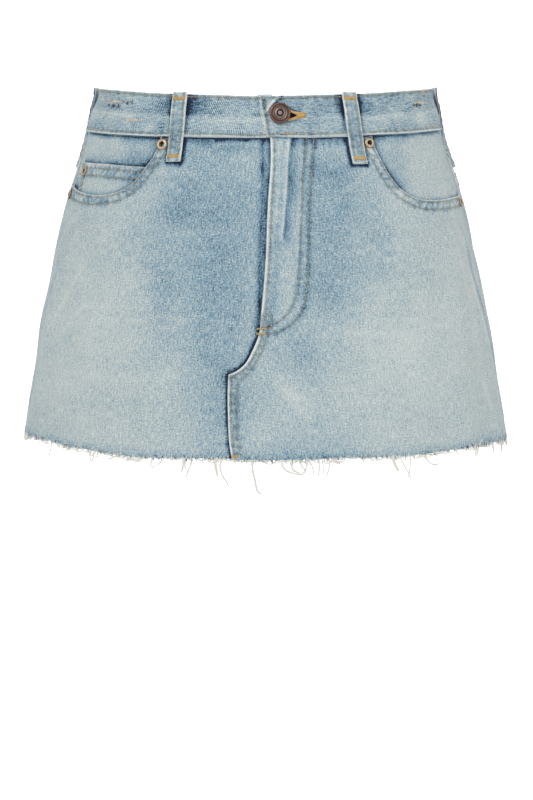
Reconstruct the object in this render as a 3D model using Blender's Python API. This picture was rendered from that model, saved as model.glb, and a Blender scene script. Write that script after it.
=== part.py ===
"""A denim mini skirt cut down from five-pocket jeans, filled out as it is worn.

Every cut piece is drawn as a flat outline in two garment coordinates and wrapped onto one hollow figure:
  around  degrees round the body, 0 at centre front, + towards the wearer's left (+X), 180 at centre back
  level   millimetres above the waist's side points, so everything below the waist is negative
A third, out, is the distance in millimetres along the figure's outward normal, and gives the cloth its
thickness and its layers. The result is in metres, +Z up, and the front faces -Y.
"""

import math

import bmesh
import bpy
import numpy as np
from mathutils import Vector
from mathutils.geometry import delaunay_2d_cdt

MM = 0.001

# The hollow figure, at the inner face of the panels. A row is: level, half width, depth in front, depth behind.
SECTIONS = np.array(
    [
        (20.0, 146.0, 92.0, 96.0),
        (0.0, 146.5, 94.0, 97.0),
        (-36.0, 152.5, 99.0, 104.0),
        (-60.0, 159.5, 104.0, 112.0),
        (-100.0, 171.5, 112.5, 123.0),
        (-160.0, 185.5, 124.0, 133.0),
        (-230.0, 199.0, 134.0, 138.0),
        (-305.0, 211.5, 142.0, 143.0),
        (-360.0, 220.5, 148.0, 148.0),
    ]
)

# Cloth and its layers.
DENIM = 1.0
SEAM_GAP = 0.3
LAYER_GAP = 0.4
LIFT = DENIM + LAYER_GAP

# The grid that the cut pieces share, and how near an outline its points may lie.
STEP_AROUND = 5.0
STEP_DOWN = 30.0
MM_PER_DEGREE = 2.6
NEAR_EDGE = 4.0
TRIANGLES_INSIDE = 1
SAME_POINT = 1e-5

# Waist, side seams and hem.
WAIST_DIP_FRONT = 11.0
WAIST_DIP_BACK = 2.0
BAND_HEIGHT_SIDE = 36.0
BAND_HEIGHT_FRONT = 34.6
SIDE_SEAM = 81.0
CENTRE_BACK = 180.0
HALF_SEAM = 0.09
HEM = [
    (-180, -304),
    (-100, -297),
    (-60, -299),
    (-30, -306),
    (30, -306),
    (60, -302),
    (100, -302),
    (180, -304),
]
FRAY_REACH = 9.0

# Waistband: two plies and the turnings between them, standing proud of the panels. Its left end laps over its
# right end, which sinks behind it along a ramp.
BAND_INNER = -0.3
BAND_OUTER = 2.1
OVER_END_TOP = 0.2
OVER_END_FOOT = 2.0
UNDER_END = 13.0
UNDER_RAMP = (-14.0, -2.0)
BAND_STEP = 18.0
UNDER_DROP = BAND_OUTER - BAND_INNER + LAYER_GAP

# The left front's lapped edge in around and level: the fly, the turn at its foot, and the step out to the lower
# lap. The right front runs on under it, and it is lifted clear until it comes down again a little way off.
FLY_EDGE = [
    (1.5, -45.6),
    (1.6, -60),
    (0.7, -100),
    (0.0, -150),
    (-0.9, -185),
    (-1.6, -206),
    (-3.0, -218),
    (-5.0, -230),
    (-6.6, -234.5),
    (-8.5, -237.5),
    (-8.5, -248),
    (-8.4, -272),
    (-7.8, -297),
    (-7.3, -306),
]
LAP_UNDER = 3.0
LAP_LIFT = 1.7
LAP_FLAT = 15.0
LAP_END = 27.0

# Front pockets, in around from centre front and level. Each mouth runs from the waistband to the side seam.
MOUTH_RIGHT = [
    (34.2, -43.8),
    (34.8, -56),
    (37.6, -69),
    (40.6, -80),
    (45, -87.5),
    (52, -92),
    (62, -91.5),
    (72.5, -88),
    (81, -84),
]
MOUTH_LEFT = [
    (34.6, -43.6),
    (35.2, -54),
    (36.8, -65),
    (38.8, -77),
    (42.2, -88),
    (48, -95),
    (56, -96.5),
    (67, -95),
    (81, -92),
]
FACING_FOOT = [(81, -104), (60, -110), (44, -106), (33, -88), (29.5, -64)]
COIN_POCKET = [(76, -63.8), (52, -66.6), (34, -69.4), (36, -100), (54, -104), (71.5, -103)]
COIN_RAMP = (77.6, 80.9)

# Yokes and patch pockets. The pocket's outline is across and down, in millimetres from its mouth's middle.
YOKE_SIDE = -56.0
YOKE_CENTRE = -98.0
BACK_POCKET_AT = (131.0, -85.0)
BACK_POCKET_TILT = math.radians(9.0)
BACK_POCKET = [(-75, 0), (75, 0), (68, -122), (0, -148), (-68, -122)]
GAPE = 0.8
GAPE_REACH = 60.0

# Belt loops: around and the level of the foot. LOOP_STAND is how far the strip stands off the band at each drop.
BELT_LOOPS = {
    "belt_loop_front_right": (-28.2, -66.0),
    "belt_loop_front_left": (28.4, -67.8),
    "belt_loop_side_right": (-97.0, -70.0),
    "belt_loop_side_left": (97.0, -70.0),
    "belt_loop_back": (180.0, -66.0),
}
LOOP_WIDTH = 13.1
LOOP_THICK = 1.6
LOOP_RISE = 0.6
LOOP_STAND = [(0, 0.4), (4, 0.5), (12, 1.8), (20, 2.2), (30, 1.6), (38, 1.0), (48, -0.3), (60, -0.2)]
LOOP_STEP = 8.0

# Hardware. A turned profile is radius and height above the seat; a rivet's row is around, level and seat.
BUTTON_AT = (4.6, -26.6)
BUTTON_CAP = [(0, 3.4), (1.9, 3.4), (2.3, 2.7), (6.4, 2.6), (7.3, 3.1), (8.3, 2.5), (8.6, 1.5), (7.6, 0)]
SHANK_RADIUS = 2.2
HOLE_EYE = 3.1
HOLE_REACH = 13.5
HOLE_SLIT = 1.6
HOLE_TURN = 30
RIVET = [(0, 0.5), (1.5, 0.5), (1.9, 1.3), (3.1, 1.5), (4.2, 1.0), (4.5, 0.4), (4.4, 0), (0, 0)]
RIVETS = {
    "rivet_front_right": (-33.3, -51.0, DENIM),
    "rivet_front_left": (33.4, -50.0, DENIM),
    "rivet_coin": (-71.3, -71.7, -LAYER_GAP),
    "rivet_side_right": (-80.0, -92.2, DENIM),
    "rivet_side_left": (77.4, -98.6, DENIM),
}
TURNED_SIDES = 16
SHARP_ANGLE = math.radians(35)

# Looks: colour, roughness, metallic.
LOOKS = {
    "denim": ((0.40, 0.52, 0.60), 0.9, 0.0),
    "denim_facing": ((0.46, 0.55, 0.59), 0.9, 0.0),
    "denim_band": ((0.36, 0.49, 0.59), 0.9, 0.0),
    "fray": ((0.80, 0.78, 0.70), 0.95, 0.0),
    "button_copper": ((0.20, 0.12, 0.10), 0.45, 1.0),
    "rivet_copper": ((0.62, 0.40, 0.28), 0.4, 1.0),
}


# The figure


def section(level):
    """Half width, front depth and back depth at a level, on smooth curves through the table's rows."""
    drop = -SECTIONS[:, 0]
    i = int(np.clip(np.searchsorted(drop, -level) - 1, 0, len(drop) - 2))
    pair = slice(i, i + 2)
    span = drop[i + 1] - drop[i]
    s = (-level - drop[i]) / span
    ends = np.array([2 * s**3 - 3 * s**2 + 1, 3 * s**2 - 2 * s**3])
    slopes = np.array([s**3 - 2 * s**2 + s, s**3 - s**2]) * span
    sizes = SECTIONS[:, 1:].T
    return [float(ends @ size[pair] + slopes @ np.gradient(size, drop)[pair]) for size in sizes]


def figure(around, level):
    """The figure's surface, in millimetres."""
    half, front, back = section(level)
    turn = math.radians(around)
    depth = front if math.cos(turn) > 0 else back
    return Vector((half * math.sin(turn), -depth * math.cos(turn), level))


def outward(around, level):
    """The figure's unit normal."""
    along = figure(around + 0.2, level) - figure(around - 0.2, level)
    rise = figure(around, level + 0.5) - figure(around, level - 0.5)
    return along.cross(rise).normalized()


def place(around, level, out):
    """The point that lies out millimetres from the figure, in metres."""
    return (figure(around, level) + outward(around, level) * out) * MM


def walk(around, level, distance):
    """The place around that lies a distance in millimetres further along the figure at a level."""
    steps = max(1, math.ceil(abs(distance) / 4))
    for _ in range(steps):
        pace = (figure(around + 0.5, level) - figure(around - 0.5, level)).length
        around += distance / steps / pace
    return around


# Lines and depths that several pieces share


def flat(point):
    """Garment coordinates as near-true millimetres, for distances and well shaped triangles."""
    return Vector((point[0] * MM_PER_DEGREE, point[1]))


def distance_to_line(point, line):
    """How far a flat point is from the nearest run of a line."""
    nearest = math.inf
    for a, b in zip(line, line[1:]):
        share = min(1.0, max(0.0, (point - a).dot(b - a) / (b - a).length_squared))
        nearest = min(nearest, (a + (b - a) * share - point).length)
    return nearest


def smooth(start, end, value):
    """0 before start, 1 after end, and an even turn between them."""
    share = min(1.0, max(0.0, (value - start) / (end - start)))
    return share * share * (3 - 2 * share)


def waist_dip(around, front):
    """How far a waist line drops towards centre front, by front, and towards centre back."""
    facing = math.cos(math.radians(around))
    return abs(facing) ** 1.5 * (front if facing > 0 else WAIST_DIP_BACK)


def waist_edge(around):
    return -waist_dip(around, WAIST_DIP_FRONT)


def band_seam(around):
    shorter = BAND_HEIGHT_SIDE - BAND_HEIGHT_FRONT
    return -BAND_HEIGHT_SIDE - waist_dip(around, WAIST_DIP_FRONT - shorter)


def yoke_seam(around):
    share = (abs(around) - SIDE_SEAM) / (CENTRE_BACK - SIDE_SEAM)
    return YOKE_SIDE + share * (YOKE_CENTRE - YOKE_SIDE)


def hem(around):
    return float(np.interp(around, *zip(*HEM)))


def fly_edge(level):
    """Where the left front's lapped edge lies at a level."""
    places, levels = zip(*reversed(FLY_EDGE))
    return float(np.interp(level, levels, places))


def lap_lift(around, level):
    """The left front rides over the right one along its edge, and comes down to the figure beyond it."""
    foot, hem_level = FLY_EDGE[-1]
    line = [flat(p) for p in (*FLY_EDGE, (foot, hem_level - 2 * FRAY_REACH))]
    away = distance_to_line(flat((around, level)), line)
    return LAP_LIFT * (1 - smooth(LAP_FLAT, LAP_END, away))


def under_drop(around, _level):
    """The waistband's right end sinks behind its left end."""
    return -UNDER_DROP * smooth(*UNDER_RAMP, around)


def facing_depth(around, _level):
    """The right facing lies deeper where the coin pocket is on it, and comes up at the side seam."""
    return -2 * LIFT + LIFT * smooth(*COIN_RAMP, abs(around))


# Outlines in around and level


def edge(line, start, end, shift=0.0):
    """A shared line as outline points, from one place around to another, moved up or down by shift."""
    count = max(1, round(abs(end - start) / STEP_AROUND))
    return [(a, line(a) + shift) for a in np.linspace(start, end, count + 1)]


def mirrored(points):
    return [(-around, level) for around, level in points]


def patch_pocket(side):
    """The back pocket's corners, tilted to the yoke seam and laid out along the figure."""
    turn = math.cos(BACK_POCKET_TILT), math.sin(BACK_POCKET_TILT)
    middle, mouth = BACK_POCKET_AT
    corners = []
    for across, down in BACK_POCKET:
        level = mouth + down * turn[0] - across * turn[1]
        corners.append((side * walk(middle, level, across * turn[0] + down * turn[1]), level))
    return corners


def gape(around, level):
    """A patch pocket's mouth stands open a little at its outer corner."""
    corner = patch_pocket(1)[0]
    away = math.hypot((abs(around) - corner[0]) * MM_PER_DEGREE, level - corner[1])
    return LIFT + GAPE * (1 - smooth(0, GAPE_REACH, away))


def buttonhole():
    """A keyhole: a round eye at the button, and a slit that runs away from the band's end."""
    middle, level = BUTTON_AT
    points = []
    for turn in range(HOLE_TURN, 360, HOLE_TURN):
        across = HOLE_EYE * math.cos(math.radians(turn))
        points.append((across, HOLE_EYE * math.sin(math.radians(turn))))
    points += [(HOLE_REACH, -HOLE_SLIT / 2), (HOLE_REACH, HOLE_SLIT / 2)]
    return [(walk(middle, level, across) - 360, level + up) for across, up in points]


# Making solids


def make_look(name):
    look = bpy.data.materials.get(name) or bpy.data.materials.new(name)
    colour, roughness, metallic = LOOKS[name]
    look.use_nodes = True
    shader = look.node_tree.nodes["Principled BSDF"]
    shader.inputs["Base Color"].default_value = (*colour, 1)
    shader.inputs["Roughness"].default_value = roughness
    shader.inputs["Metallic"].default_value = metallic
    return look


def add_object(name, mesh, look):
    piece = bpy.data.objects.new(name, mesh)
    bpy.context.scene.collection.objects.link(piece)
    material = make_look(look).copy()
    material.name = name
    mesh.materials.append(material)
    return piece


def trace(corners, step_down):
    """An outline with points added wherever it crosses the shared grid."""
    points = []
    for start, end in zip(corners, corners[1:] + corners[:1]):
        span = (flat(end) - flat(start)).length
        shares = [0.0]
        for axis, step in ((0, STEP_AROUND), (1, step_down)):
            rise = end[axis] - start[axis]
            if rise:
                lines = grid_lines((start[axis], end[axis]), step)
                shares += [(line - start[axis]) / rise for line in lines]
        kept = 0.0
        points.append(start)
        for share in sorted(shares):
            if (share - kept) * span > NEAR_EDGE / 2 and (1 - share) * span > NEAR_EDGE / 2:
                points.append(tuple(a + (b - a) * share for a, b in zip(start, end)))
                kept = share
    return points


def inside(point, loops):
    """Whether a flat point is inside the outline and outside its holes."""
    x, y = point
    crossings = 0
    for loop in loops:
        for a, b in zip(loop, loop[1:] + loop[:1]):
            if (a.y > y) != (b.y > y) and x < a.x + (y - a.y) / (b.y - a.y) * (b.x - a.x):
                crossings += 1
    return crossings % 2 == 1


def grid_lines(values, step):
    """The grid's lines that cross a run of values."""
    return [line * step for line in range(math.ceil(min(values) / step), math.floor(max(values) / step) + 1)]


def fill(loops, step_down):
    """Grid points inside the loops and the triangles between all points, in flat coordinates."""
    points = [p for loop in loops for p in loop]
    edges = []
    for loop in loops:
        first = points.index(loop[0])
        edges += [(first + i, first + (i + 1) % len(loop)) for i in range(len(loop))]
    outline, *holes = loops
    for x in grid_lines([p.x for p in outline], STEP_AROUND * MM_PER_DEGREE):
        for y in grid_lines([p.y for p in outline], step_down):
            spot = Vector((x, y))
            near = min(distance_to_line(spot, loop + loop[:1]) for loop in loops)
            if near > NEAR_EDGE and inside(spot, loops):
                points.append(spot)
    spots, _, triangles, *_ = delaunay_2d_cdt(points, edges, [], TRIANGLES_INSIDE, SAME_POINT)
    kept = []
    for corners in triangles:
        middle = sum((spots[n] for n in corners), Vector((0, 0))) / 3
        if not any(inside(middle, [hole]) for hole in holes):
            kept.append(corners)
    return spots, kept


def cloth(name, outline, look, depth=None, inner=0.0, outer=DENIM, holes=(), step_down=STEP_DOWN):
    """A cut piece: its outline filled, wrapped onto the figure and given its thickness.

    inner and outer are how far its two faces lie from the figure, and depth adds what varies over the piece.
    """
    loops = [[flat(p) for p in trace(corners, step_down)] for corners in (outline, *holes)]
    spots, triangles = fill(loops, step_down)
    work = bmesh.new()
    faces = {}
    for out in (inner, outer):
        faces[out] = []
        for spot in spots:
            around, level = spot.x / MM_PER_DEGREE, spot.y
            more = depth(around, level) if depth else 0.0
            faces[out].append(work.verts.new(place(around, level, out + more)))
    open_edges = {}
    for i, j, k in triangles:
        work.faces.new([faces[outer][n] for n in (i, j, k)])
        work.faces.new([faces[inner][n] for n in (k, j, i)])
        for start, end in ((i, j), (j, k), (k, i)):
            if (end, start) in open_edges:
                del open_edges[end, start]
            else:
                open_edges[start, end] = True
    for start, end in open_edges:
        work.faces.new([faces[outer][end], faces[outer][start], faces[inner][start], faces[inner][end]])
    loose = [v for v in work.verts if not v.link_faces]
    bmesh.ops.delete(work, geom=loose, context="VERTS")
    mesh = bpy.data.meshes.new(name)
    work.to_mesh(mesh)
    work.free()
    return add_object(name, mesh, look)


def turned(name, profile, look, around, level, seat):
    """A turned piece whose axis is the figure's normal, standing on a seat above the figure."""
    work = bmesh.new()
    points = [work.verts.new((radius * MM, 0, height * MM)) for radius, height in profile]
    line = [work.edges.new(pair) for pair in zip(points, points[1:])]
    full = {"cent": (0, 0, 0), "axis": (0, 0, 1), "angle": math.tau, "steps": TURNED_SIDES}
    bmesh.ops.spin(work, geom=points + line, **full)
    bmesh.ops.remove_doubles(work, verts=work.verts, dist=SAME_POINT * MM)
    bmesh.ops.recalc_face_normals(work, faces=work.faces)
    mesh = bpy.data.meshes.new(name)
    work.to_mesh(mesh)
    work.free()
    mesh.shade_smooth()
    mesh.set_sharp_from_angle(angle=SHARP_ANGLE)
    piece = add_object(name, mesh, look)
    piece.location = place(around, level, seat)
    piece.rotation_euler = outward(around, level).to_track_quat("Z", "Y").to_euler()
    return piece


# The pieces


def make_fronts():
    """Two front panels, the left lapped over the right, and the frayed strip below each panel of the skirt."""
    top = -SEAM_GAP / 2
    side = SIDE_SEAM - HALF_SEAM
    lap = [(fly_edge(level), level) for _, level in FLY_EDGE[1:-1]]
    lap_top, lap_foot = fly_edge(band_seam(0)), FLY_EDGE[-1][0]
    left = edge(band_seam, lap_top, MOUTH_LEFT[0][0], top)
    left += MOUTH_LEFT[1:-1] + [(side, MOUTH_LEFT[-1][1])]
    left += edge(hem, side, lap_foot) + lap[::-1]
    cloth("front_panel_left", left, "denim", depth=lap_lift)

    under = [(around + LAP_UNDER, level) for around, level in lap]
    right = edge(band_seam, lap_top + LAP_UNDER, -MOUTH_RIGHT[0][0], top)
    right += mirrored(MOUTH_RIGHT[1:-1]) + [(-side, MOUTH_RIGHT[-1][1])]
    right += edge(hem, -side, lap_foot + LAP_UNDER) + under[::-1]
    cloth("front_panel_right", right, "denim")

    for name, start, end, depth in (
        ("hem_fray_front_left", lap_foot, side, lap_lift),
        ("hem_fray_front_right", -side, lap_foot + LAP_UNDER, None),
        ("hem_fray_back_left", SIDE_SEAM + HALF_SEAM, CENTRE_BACK - HALF_SEAM, None),
        ("hem_fray_back_right", -CENTRE_BACK + HALF_SEAM, -SIDE_SEAM - HALF_SEAM, None),
    ):
        strip = edge(hem, start, end, -SEAM_GAP) + edge(hem, end, start, -FRAY_REACH)
        cloth(name, strip, "fray", depth=depth)


def make_front_pockets():
    side = SIDE_SEAM - HALF_SEAM
    top = edge(band_seam, FACING_FOOT[-1][0], side, -SEAM_GAP / 2)
    outline = top + [(side, FACING_FOOT[0][1])] + FACING_FOOT[1:]
    cloth("pocket_facing_left", outline, "denim_facing", inner=-LIFT, outer=-LAYER_GAP)
    cloth("pocket_facing_right", mirrored(outline), "denim_facing", depth=facing_depth)
    cloth("coin_pocket", mirrored(COIN_POCKET), "denim_facing", inner=-LIFT, outer=-LAYER_GAP)


def make_backs():
    for side, hand in ((1, "left"), (-1, "right")):
        near, far = side * (SIDE_SEAM + HALF_SEAM), side * (CENTRE_BACK - HALF_SEAM)
        yoke = edge(band_seam, near, far, -SEAM_GAP / 2) + edge(yoke_seam, far, near, SEAM_GAP / 2)
        cloth(f"back_yoke_{hand}", yoke, "denim")
        panel = edge(yoke_seam, near, far, -SEAM_GAP / 2) + edge(hem, far, near)
        cloth(f"back_panel_{hand}", panel, "denim")
        cloth(f"back_pocket_{hand}", patch_pocket(side), "denim", depth=gape)


def make_waistband():
    """One strip from its hidden right end, round the back, to its left end on top at centre front."""
    top = edge(waist_edge, OVER_END_TOP - 360, UNDER_END)
    foot = edge(band_seam, UNDER_END, OVER_END_FOOT - 360, SEAM_GAP / 2)
    cloth(
        "waistband",
        top + foot,
        "denim_band",
        depth=under_drop,
        inner=BAND_INNER,
        outer=BAND_OUTER,
        holes=[buttonhole()],
        step_down=BAND_STEP,
    )


def make_belt_loops():
    half = LOOP_WIDTH / 2
    for name, (middle, foot) in BELT_LOOPS.items():
        top = waist_edge(middle) + LOOP_RISE
        strip = [
            (walk(middle, top, -half), top),
            (walk(middle, foot, -half), foot),
            (walk(middle, foot, half), foot),
            (walk(middle, top, half), top),
        ]

        def stand(around, level, top=top):
            return float(np.interp(top - level, *zip(*LOOP_STAND)))

        outer = BAND_OUTER + LOOP_THICK
        cloth(name, strip, "denim_band", stand, BAND_OUTER, outer, step_down=LOOP_STEP)


def make_hardware():
    seat = BAND_OUTER + LAYER_GAP
    reach = seat - (BAND_OUTER - UNDER_DROP + SEAM_GAP)
    shank = [(SHANK_RADIUS, 0), (SHANK_RADIUS, -reach), (0, -reach)]
    turned("waist_button", BUTTON_CAP + shank, "button_copper", *BUTTON_AT, seat)
    for name, (around, level, under) in RIVETS.items():
        turned(name, RIVET, "rivet_copper", around, level, under + SEAM_GAP)


def build():
    for old in list(bpy.data.objects):
        bpy.data.objects.remove(old)
    make_fronts()
    make_front_pockets()
    make_backs()
    make_waistband()
    make_belt_loops()
    make_hardware()


build()
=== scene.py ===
"""The looks of a worn-in denim mini skirt cut down from jeans, laid out as an add-on.

Cloth is drawn in the garment coordinates that its solids use, and wrapped onto the same hollow figure:
  around  degrees round the body, 0 at centre front, + towards the wearer's left (+X), 180 at centre back
  level   millimetres above the waist's side points
  out     millimetres along the figure's outward normal
A line is an array with a row of around and level for each point. Sizes are in millimetres unless a name or a
description says otherwise, and the finished meshes are in metres.
"""

import math

import bpy
import numpy as np
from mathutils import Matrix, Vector
from mathutils.geometry import delaunay_2d_cdt


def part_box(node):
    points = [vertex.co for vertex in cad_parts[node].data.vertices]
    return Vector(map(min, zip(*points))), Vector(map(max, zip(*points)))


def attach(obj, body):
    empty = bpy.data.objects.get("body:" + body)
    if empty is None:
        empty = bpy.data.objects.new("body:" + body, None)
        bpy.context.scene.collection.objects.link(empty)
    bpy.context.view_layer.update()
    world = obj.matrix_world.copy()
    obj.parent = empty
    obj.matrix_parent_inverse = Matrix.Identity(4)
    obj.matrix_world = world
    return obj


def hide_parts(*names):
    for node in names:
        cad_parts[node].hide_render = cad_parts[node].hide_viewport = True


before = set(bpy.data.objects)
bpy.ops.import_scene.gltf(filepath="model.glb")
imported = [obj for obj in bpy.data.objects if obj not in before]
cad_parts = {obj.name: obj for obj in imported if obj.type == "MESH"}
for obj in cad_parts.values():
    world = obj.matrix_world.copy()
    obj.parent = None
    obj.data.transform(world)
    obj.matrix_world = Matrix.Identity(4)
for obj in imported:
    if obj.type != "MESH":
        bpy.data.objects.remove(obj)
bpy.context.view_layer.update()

bl_info = {
    "name": "Denim mini skirt",
    "version": (1, 0, 0),
    "blender": (4, 5, 0),
    "location": "3D View > Sidebar > Skirt",
    "description": "Dresses the solids of a denim mini skirt with cloth, stitching, fringe and hardware",
    "category": "Object",
}

MM = 0.001

# The hollow figure. A row is: level, half width, depth in front, depth behind.
SECTIONS = np.array(
    [
        (20.0, 146.0, 92.0, 96.0),
        (0.0, 146.5, 94.0, 97.0),
        (-36.0, 152.5, 99.0, 104.0),
        (-60.0, 159.5, 104.0, 112.0),
        (-100.0, 171.5, 112.5, 123.0),
        (-160.0, 185.5, 124.0, 133.0),
        (-230.0, 199.0, 134.0, 138.0),
        (-305.0, 211.5, 142.0, 143.0),
        (-360.0, 220.5, 148.0, 148.0),
    ]
)

# Cloth and its layers.
DENIM = 1.0
SEAM_GAP = 0.3
LAYER_GAP = 0.4
LIFT = DENIM + LAYER_GAP

# Waist, side seams and hem.
WAIST_DIP_FRONT = 11.0
WAIST_DIP_BACK = 2.0
BAND_HEIGHT_SIDE = 36.0
BAND_HEIGHT_FRONT = 34.6
SIDE_SEAM = 81.0
CENTRE_BACK = 180.0
FULL_TURN = 360
HALF_SEAM = 0.008
HEM_LEVEL = -305.0
HEM = [(-180, -304), (-100, -297), (-60, -299), (-30, -306), (30, -306), (60, -302), (100, -302), (180, -304)]

# Waistband: its faces, its lapped ends, and the ramp by which the right end sinks behind the left one.
BAND_INNER = -0.3
BAND_OUTER = 2.1
OVER_END = (-1.9, 0.3)
UNDER_END = 13.0
UNDER_RAMP = (-14.0, -2.0)
# Folds where the over end bends, lighter along their ridges as painted highlight and wear, and darker beside
# them as painted shade: around and level of both ends, reach, and change of dye.
OVER_FOLDS = [(0, -25, 4.4, -9.5, 1.2, -0.6), (1.8, -22, 6, -10, 1.6, 0.4), (-0.8, -14, 0.2, -30, 1.4, 0.3)]
UNDER_DROP = BAND_OUTER - BAND_INNER + LAYER_GAP

# The left front's lapped edge: the fly, down to the corner at its foot, and the lower lap.
FLY_EDGE = [(1.5, -45.6), (1.6, -60), (0.7, -100), (0, -150), (-0.9, -185), (-1.6, -206), (-3, -218)]
FLY_EDGE += [(-5, -230), (-6.6, -234.5), (-8.5, -237.5)]
LOWER_LAP = [(-8.5, -237.5), (-8.6, -248), (-8.4, -272), (-7.8, -297), (-7.3, -306)]
LAP_UNDER = 3.0
LAP_LIFT = 1.7
LAP_FLAT = 15.0
LAP_END = 27.0

# Topstitching of the fly: the two rows of its curve, the second row beside its foot and beside the lower lap,
# and the bar tacks (ends and width) and square tack at its foot.
FLY_ROWS = [
    [
        (14.9, -45), (13.6, -70), (12, -99.4), (11.2, -138.4), (10.3, -169), (9, -186), (5.7, -198),
        (3, -203), (-1.3, -205.3),
    ],
    [
        (12.6, -45), (10.8, -77.4), (9.6, -114.8), (8.6, -153.7), (7.9, -172), (5.3, -189),
        (1.6, -197.6), (-0.6, -199.4),
    ],
]
FOOT_ROW = [(0.9, -199), (0.4, -206), (-0.2, -214), (-1.6, -224), (-3.2, -233), (-5, -240), (-6.3, -244)]
LOWER_ROW = [(-6.3, -244), (-6.4, -256), (-6.4, -270), (-6.1, -286), (-5.3, -304)]
FLY_TACKS = [
    ((-1.9, -200.6), (0.1, -200.4), 1.3), ((-2, -204.6), (0.2, -204.8), 1.5),
    ((-7.3, -303.4), (-6, -303.5), 2.2),
]
SQUARE_TACK = [(-0.8, -189.5), (1.4, -189.5), (1.5, -200), (-0.9, -200), (-0.8, -189.5)]

# The fold that the fly has taken in wear, the painted shadow of the fly on the cloth beneath it, with the dye
# it keeps there, and the painted shade of dents below the band: around and depth.
FLY_RIDGE = [
    (7.2, -46.5), (6.6, -58), (6.15, -70), (5.8, -86), (5.3, -100), (4.9, -112), (4.5, -121),
    (4.2, -128),
]
FLY_SHADOW = [
    (-0.7, -47), (-0.7, -68), (-0.7, -84), (-0.9, -104), (-1.2, -129), (-1.4, -153), (-1.6, -177),
    (-2.1, -200),
]
UNDER_BAND_SHADE = [(8.4, 6), (12, 5), (13.9, 3), (15.6, 7), (17.8, 5), (20, 6), (22.4, 4), (24.4, 3)]

# Front pockets. Each mouth runs from the waistband to the side seam, as if on the left.
MOUTH_RIGHT = [
    (34.2, -43.8), (34.8, -56), (37.6, -69), (40.6, -80), (45, -87.5), (52, -92), (62, -91.5),
    (72.5, -88), (81, -84),
]
MOUTH_LEFT = [
    (34.6, -43.6), (35.2, -54), (36.8, -65), (38.8, -77), (42.2, -88), (48, -95), (56, -96.5),
    (67, -95), (81, -92),
]
FACING_FOOT = [(81, -104), (60, -110), (44, -106), (33, -88), (29.5, -64)]
COIN_POCKET = [(-76, -63.8), (-52, -66.6), (-34, -69.4), (-36, -100), (-54, -104), (-71.5, -103)]
COIN_RAMP = (77.6, 80.9)
COIN_SIDE = [(-75.2, -66), (-70.7, -102)]
TUCKED = 6.0
# How far rows of stitches lie from a pocket's mouth, and from a felled seam.
MOUTH_ROWS = (1.8, 8.2)
SEAM_ROWS = (1.8, 7.6)

# Yokes and patch pockets. The pocket's outline is across and down from its mouth's middle.
YOKE_SIDE = -56.0
YOKE_CENTRE = -98.0
BACK_POCKET_AT = (131.0, -85.0)
BACK_POCKET_TILT = math.radians(9.0)
BACK_POCKET = [(-75, 0), (75, 0), (68, -122), (0, -148), (-68, -122)]
GAPE = 0.8
GAPE_REACH = 60.0

# Buttonhole, from the button's middle: millimetres along, then the lower and upper edge of its slit and of
# its thread. Each begins as an eye, with its radius and the angle at which it opens into the slit, which lies
# EYE_DROP lower than the button. A tack lies below at the band's foot, from around to around.
EYE_DROP = 0.4
SLIT_EYE = (3.1, 35)
THREAD_EYE = (5.2, 55)
SLIT_EDGE = [(6, -3.6, 1.2), (8.5, -3.8, 1.1), (11, -3.0, 0.3), (13.6, -1.6, -0.8)]
THREAD_EDGE = [(6, -6, 3.3), (8.5, -6.1, 3.3), (12, -5, 2), (16, -3.9, 1.3), (19, -3.3, 1), (21.6, -3, 0.9)]
BUTTONHOLE_THREADS = 96
BAND_FOOT_TACK = (5.0, 9.8)

# Belt loops: width, thickness, how far rows of stitches lie from their edges and bar tacks from their top and
# foot, and how far the strip stands off the band at each drop, less at the sides.
LOOP_WIDTH = 13.1
LOOP_THICK = 1.6
LOOP_ROW = 2.7
LOOP_TACKS = (5.4, 4.6)
SIDE_STAND = 0.4
LOOP_STAND = [(0, 0.4), (4, 0.5), (12, 1.8), (20, 2.2), (30, 1.6), (38, 1), (48, -0.3), (60, -0.2)]
# How dark the band is close to a loop and near it, with unfaded dye and painted shade, deepest as painted
# shade where a side loop shuts it off: in front, where a side loop shuts it off, and elsewhere.
LOOP_DYE_AND_SHADE = {"front": (0.5, 0.4), "shut": (0.75, 0.45), "other": (0.3, 0.2)}
# Each loop's lean: how far around its foot lies from its top.
LOOP_LEAN = {
    "belt_loop_front_right": 0.3,
    "belt_loop_front_left": 1.1,
    "belt_loop_side_right": -0.4,
    "belt_loop_side_left": 0.5,
    "belt_loop_back": -0.5,
}

# How finely cloth is cut into triangles: the grid of a panel and of smaller pieces, points along an edge, and
# rows of them beside it.
PANEL_GRID = 2.5
BAND_GRID = 1.9
LOOP_GRID = 1.3
EDGE_STEP = 2.0
MM_PER_DEGREE = 2.6
EDGE_ROWS = (0.35, 0.9)
EDGE_ROUND = 1.1
GUIDE_GAP = 0.3
WEAR_REACH = 0.75
CHUNK = 1500
FAR = 5.0
TRIANGLES_INSIDE = 1
SAME_POINT = 1e-5
SHARED_POINT = 0.05

# Turned edges and rows of stitching, as forms in the cloth.
FOLD_HEIGHT = 0.55
FOLD_RAMP = 1.4
GROOVE_DEPTH = 0.22
GROOVE_WIDTH = 0.8
PUCKER_HEIGHT = 0.22
PUCKER_PITCH = 6.5
ROPE_PITCH = 4.6
PUCKER_REACH = 4.5

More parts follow.
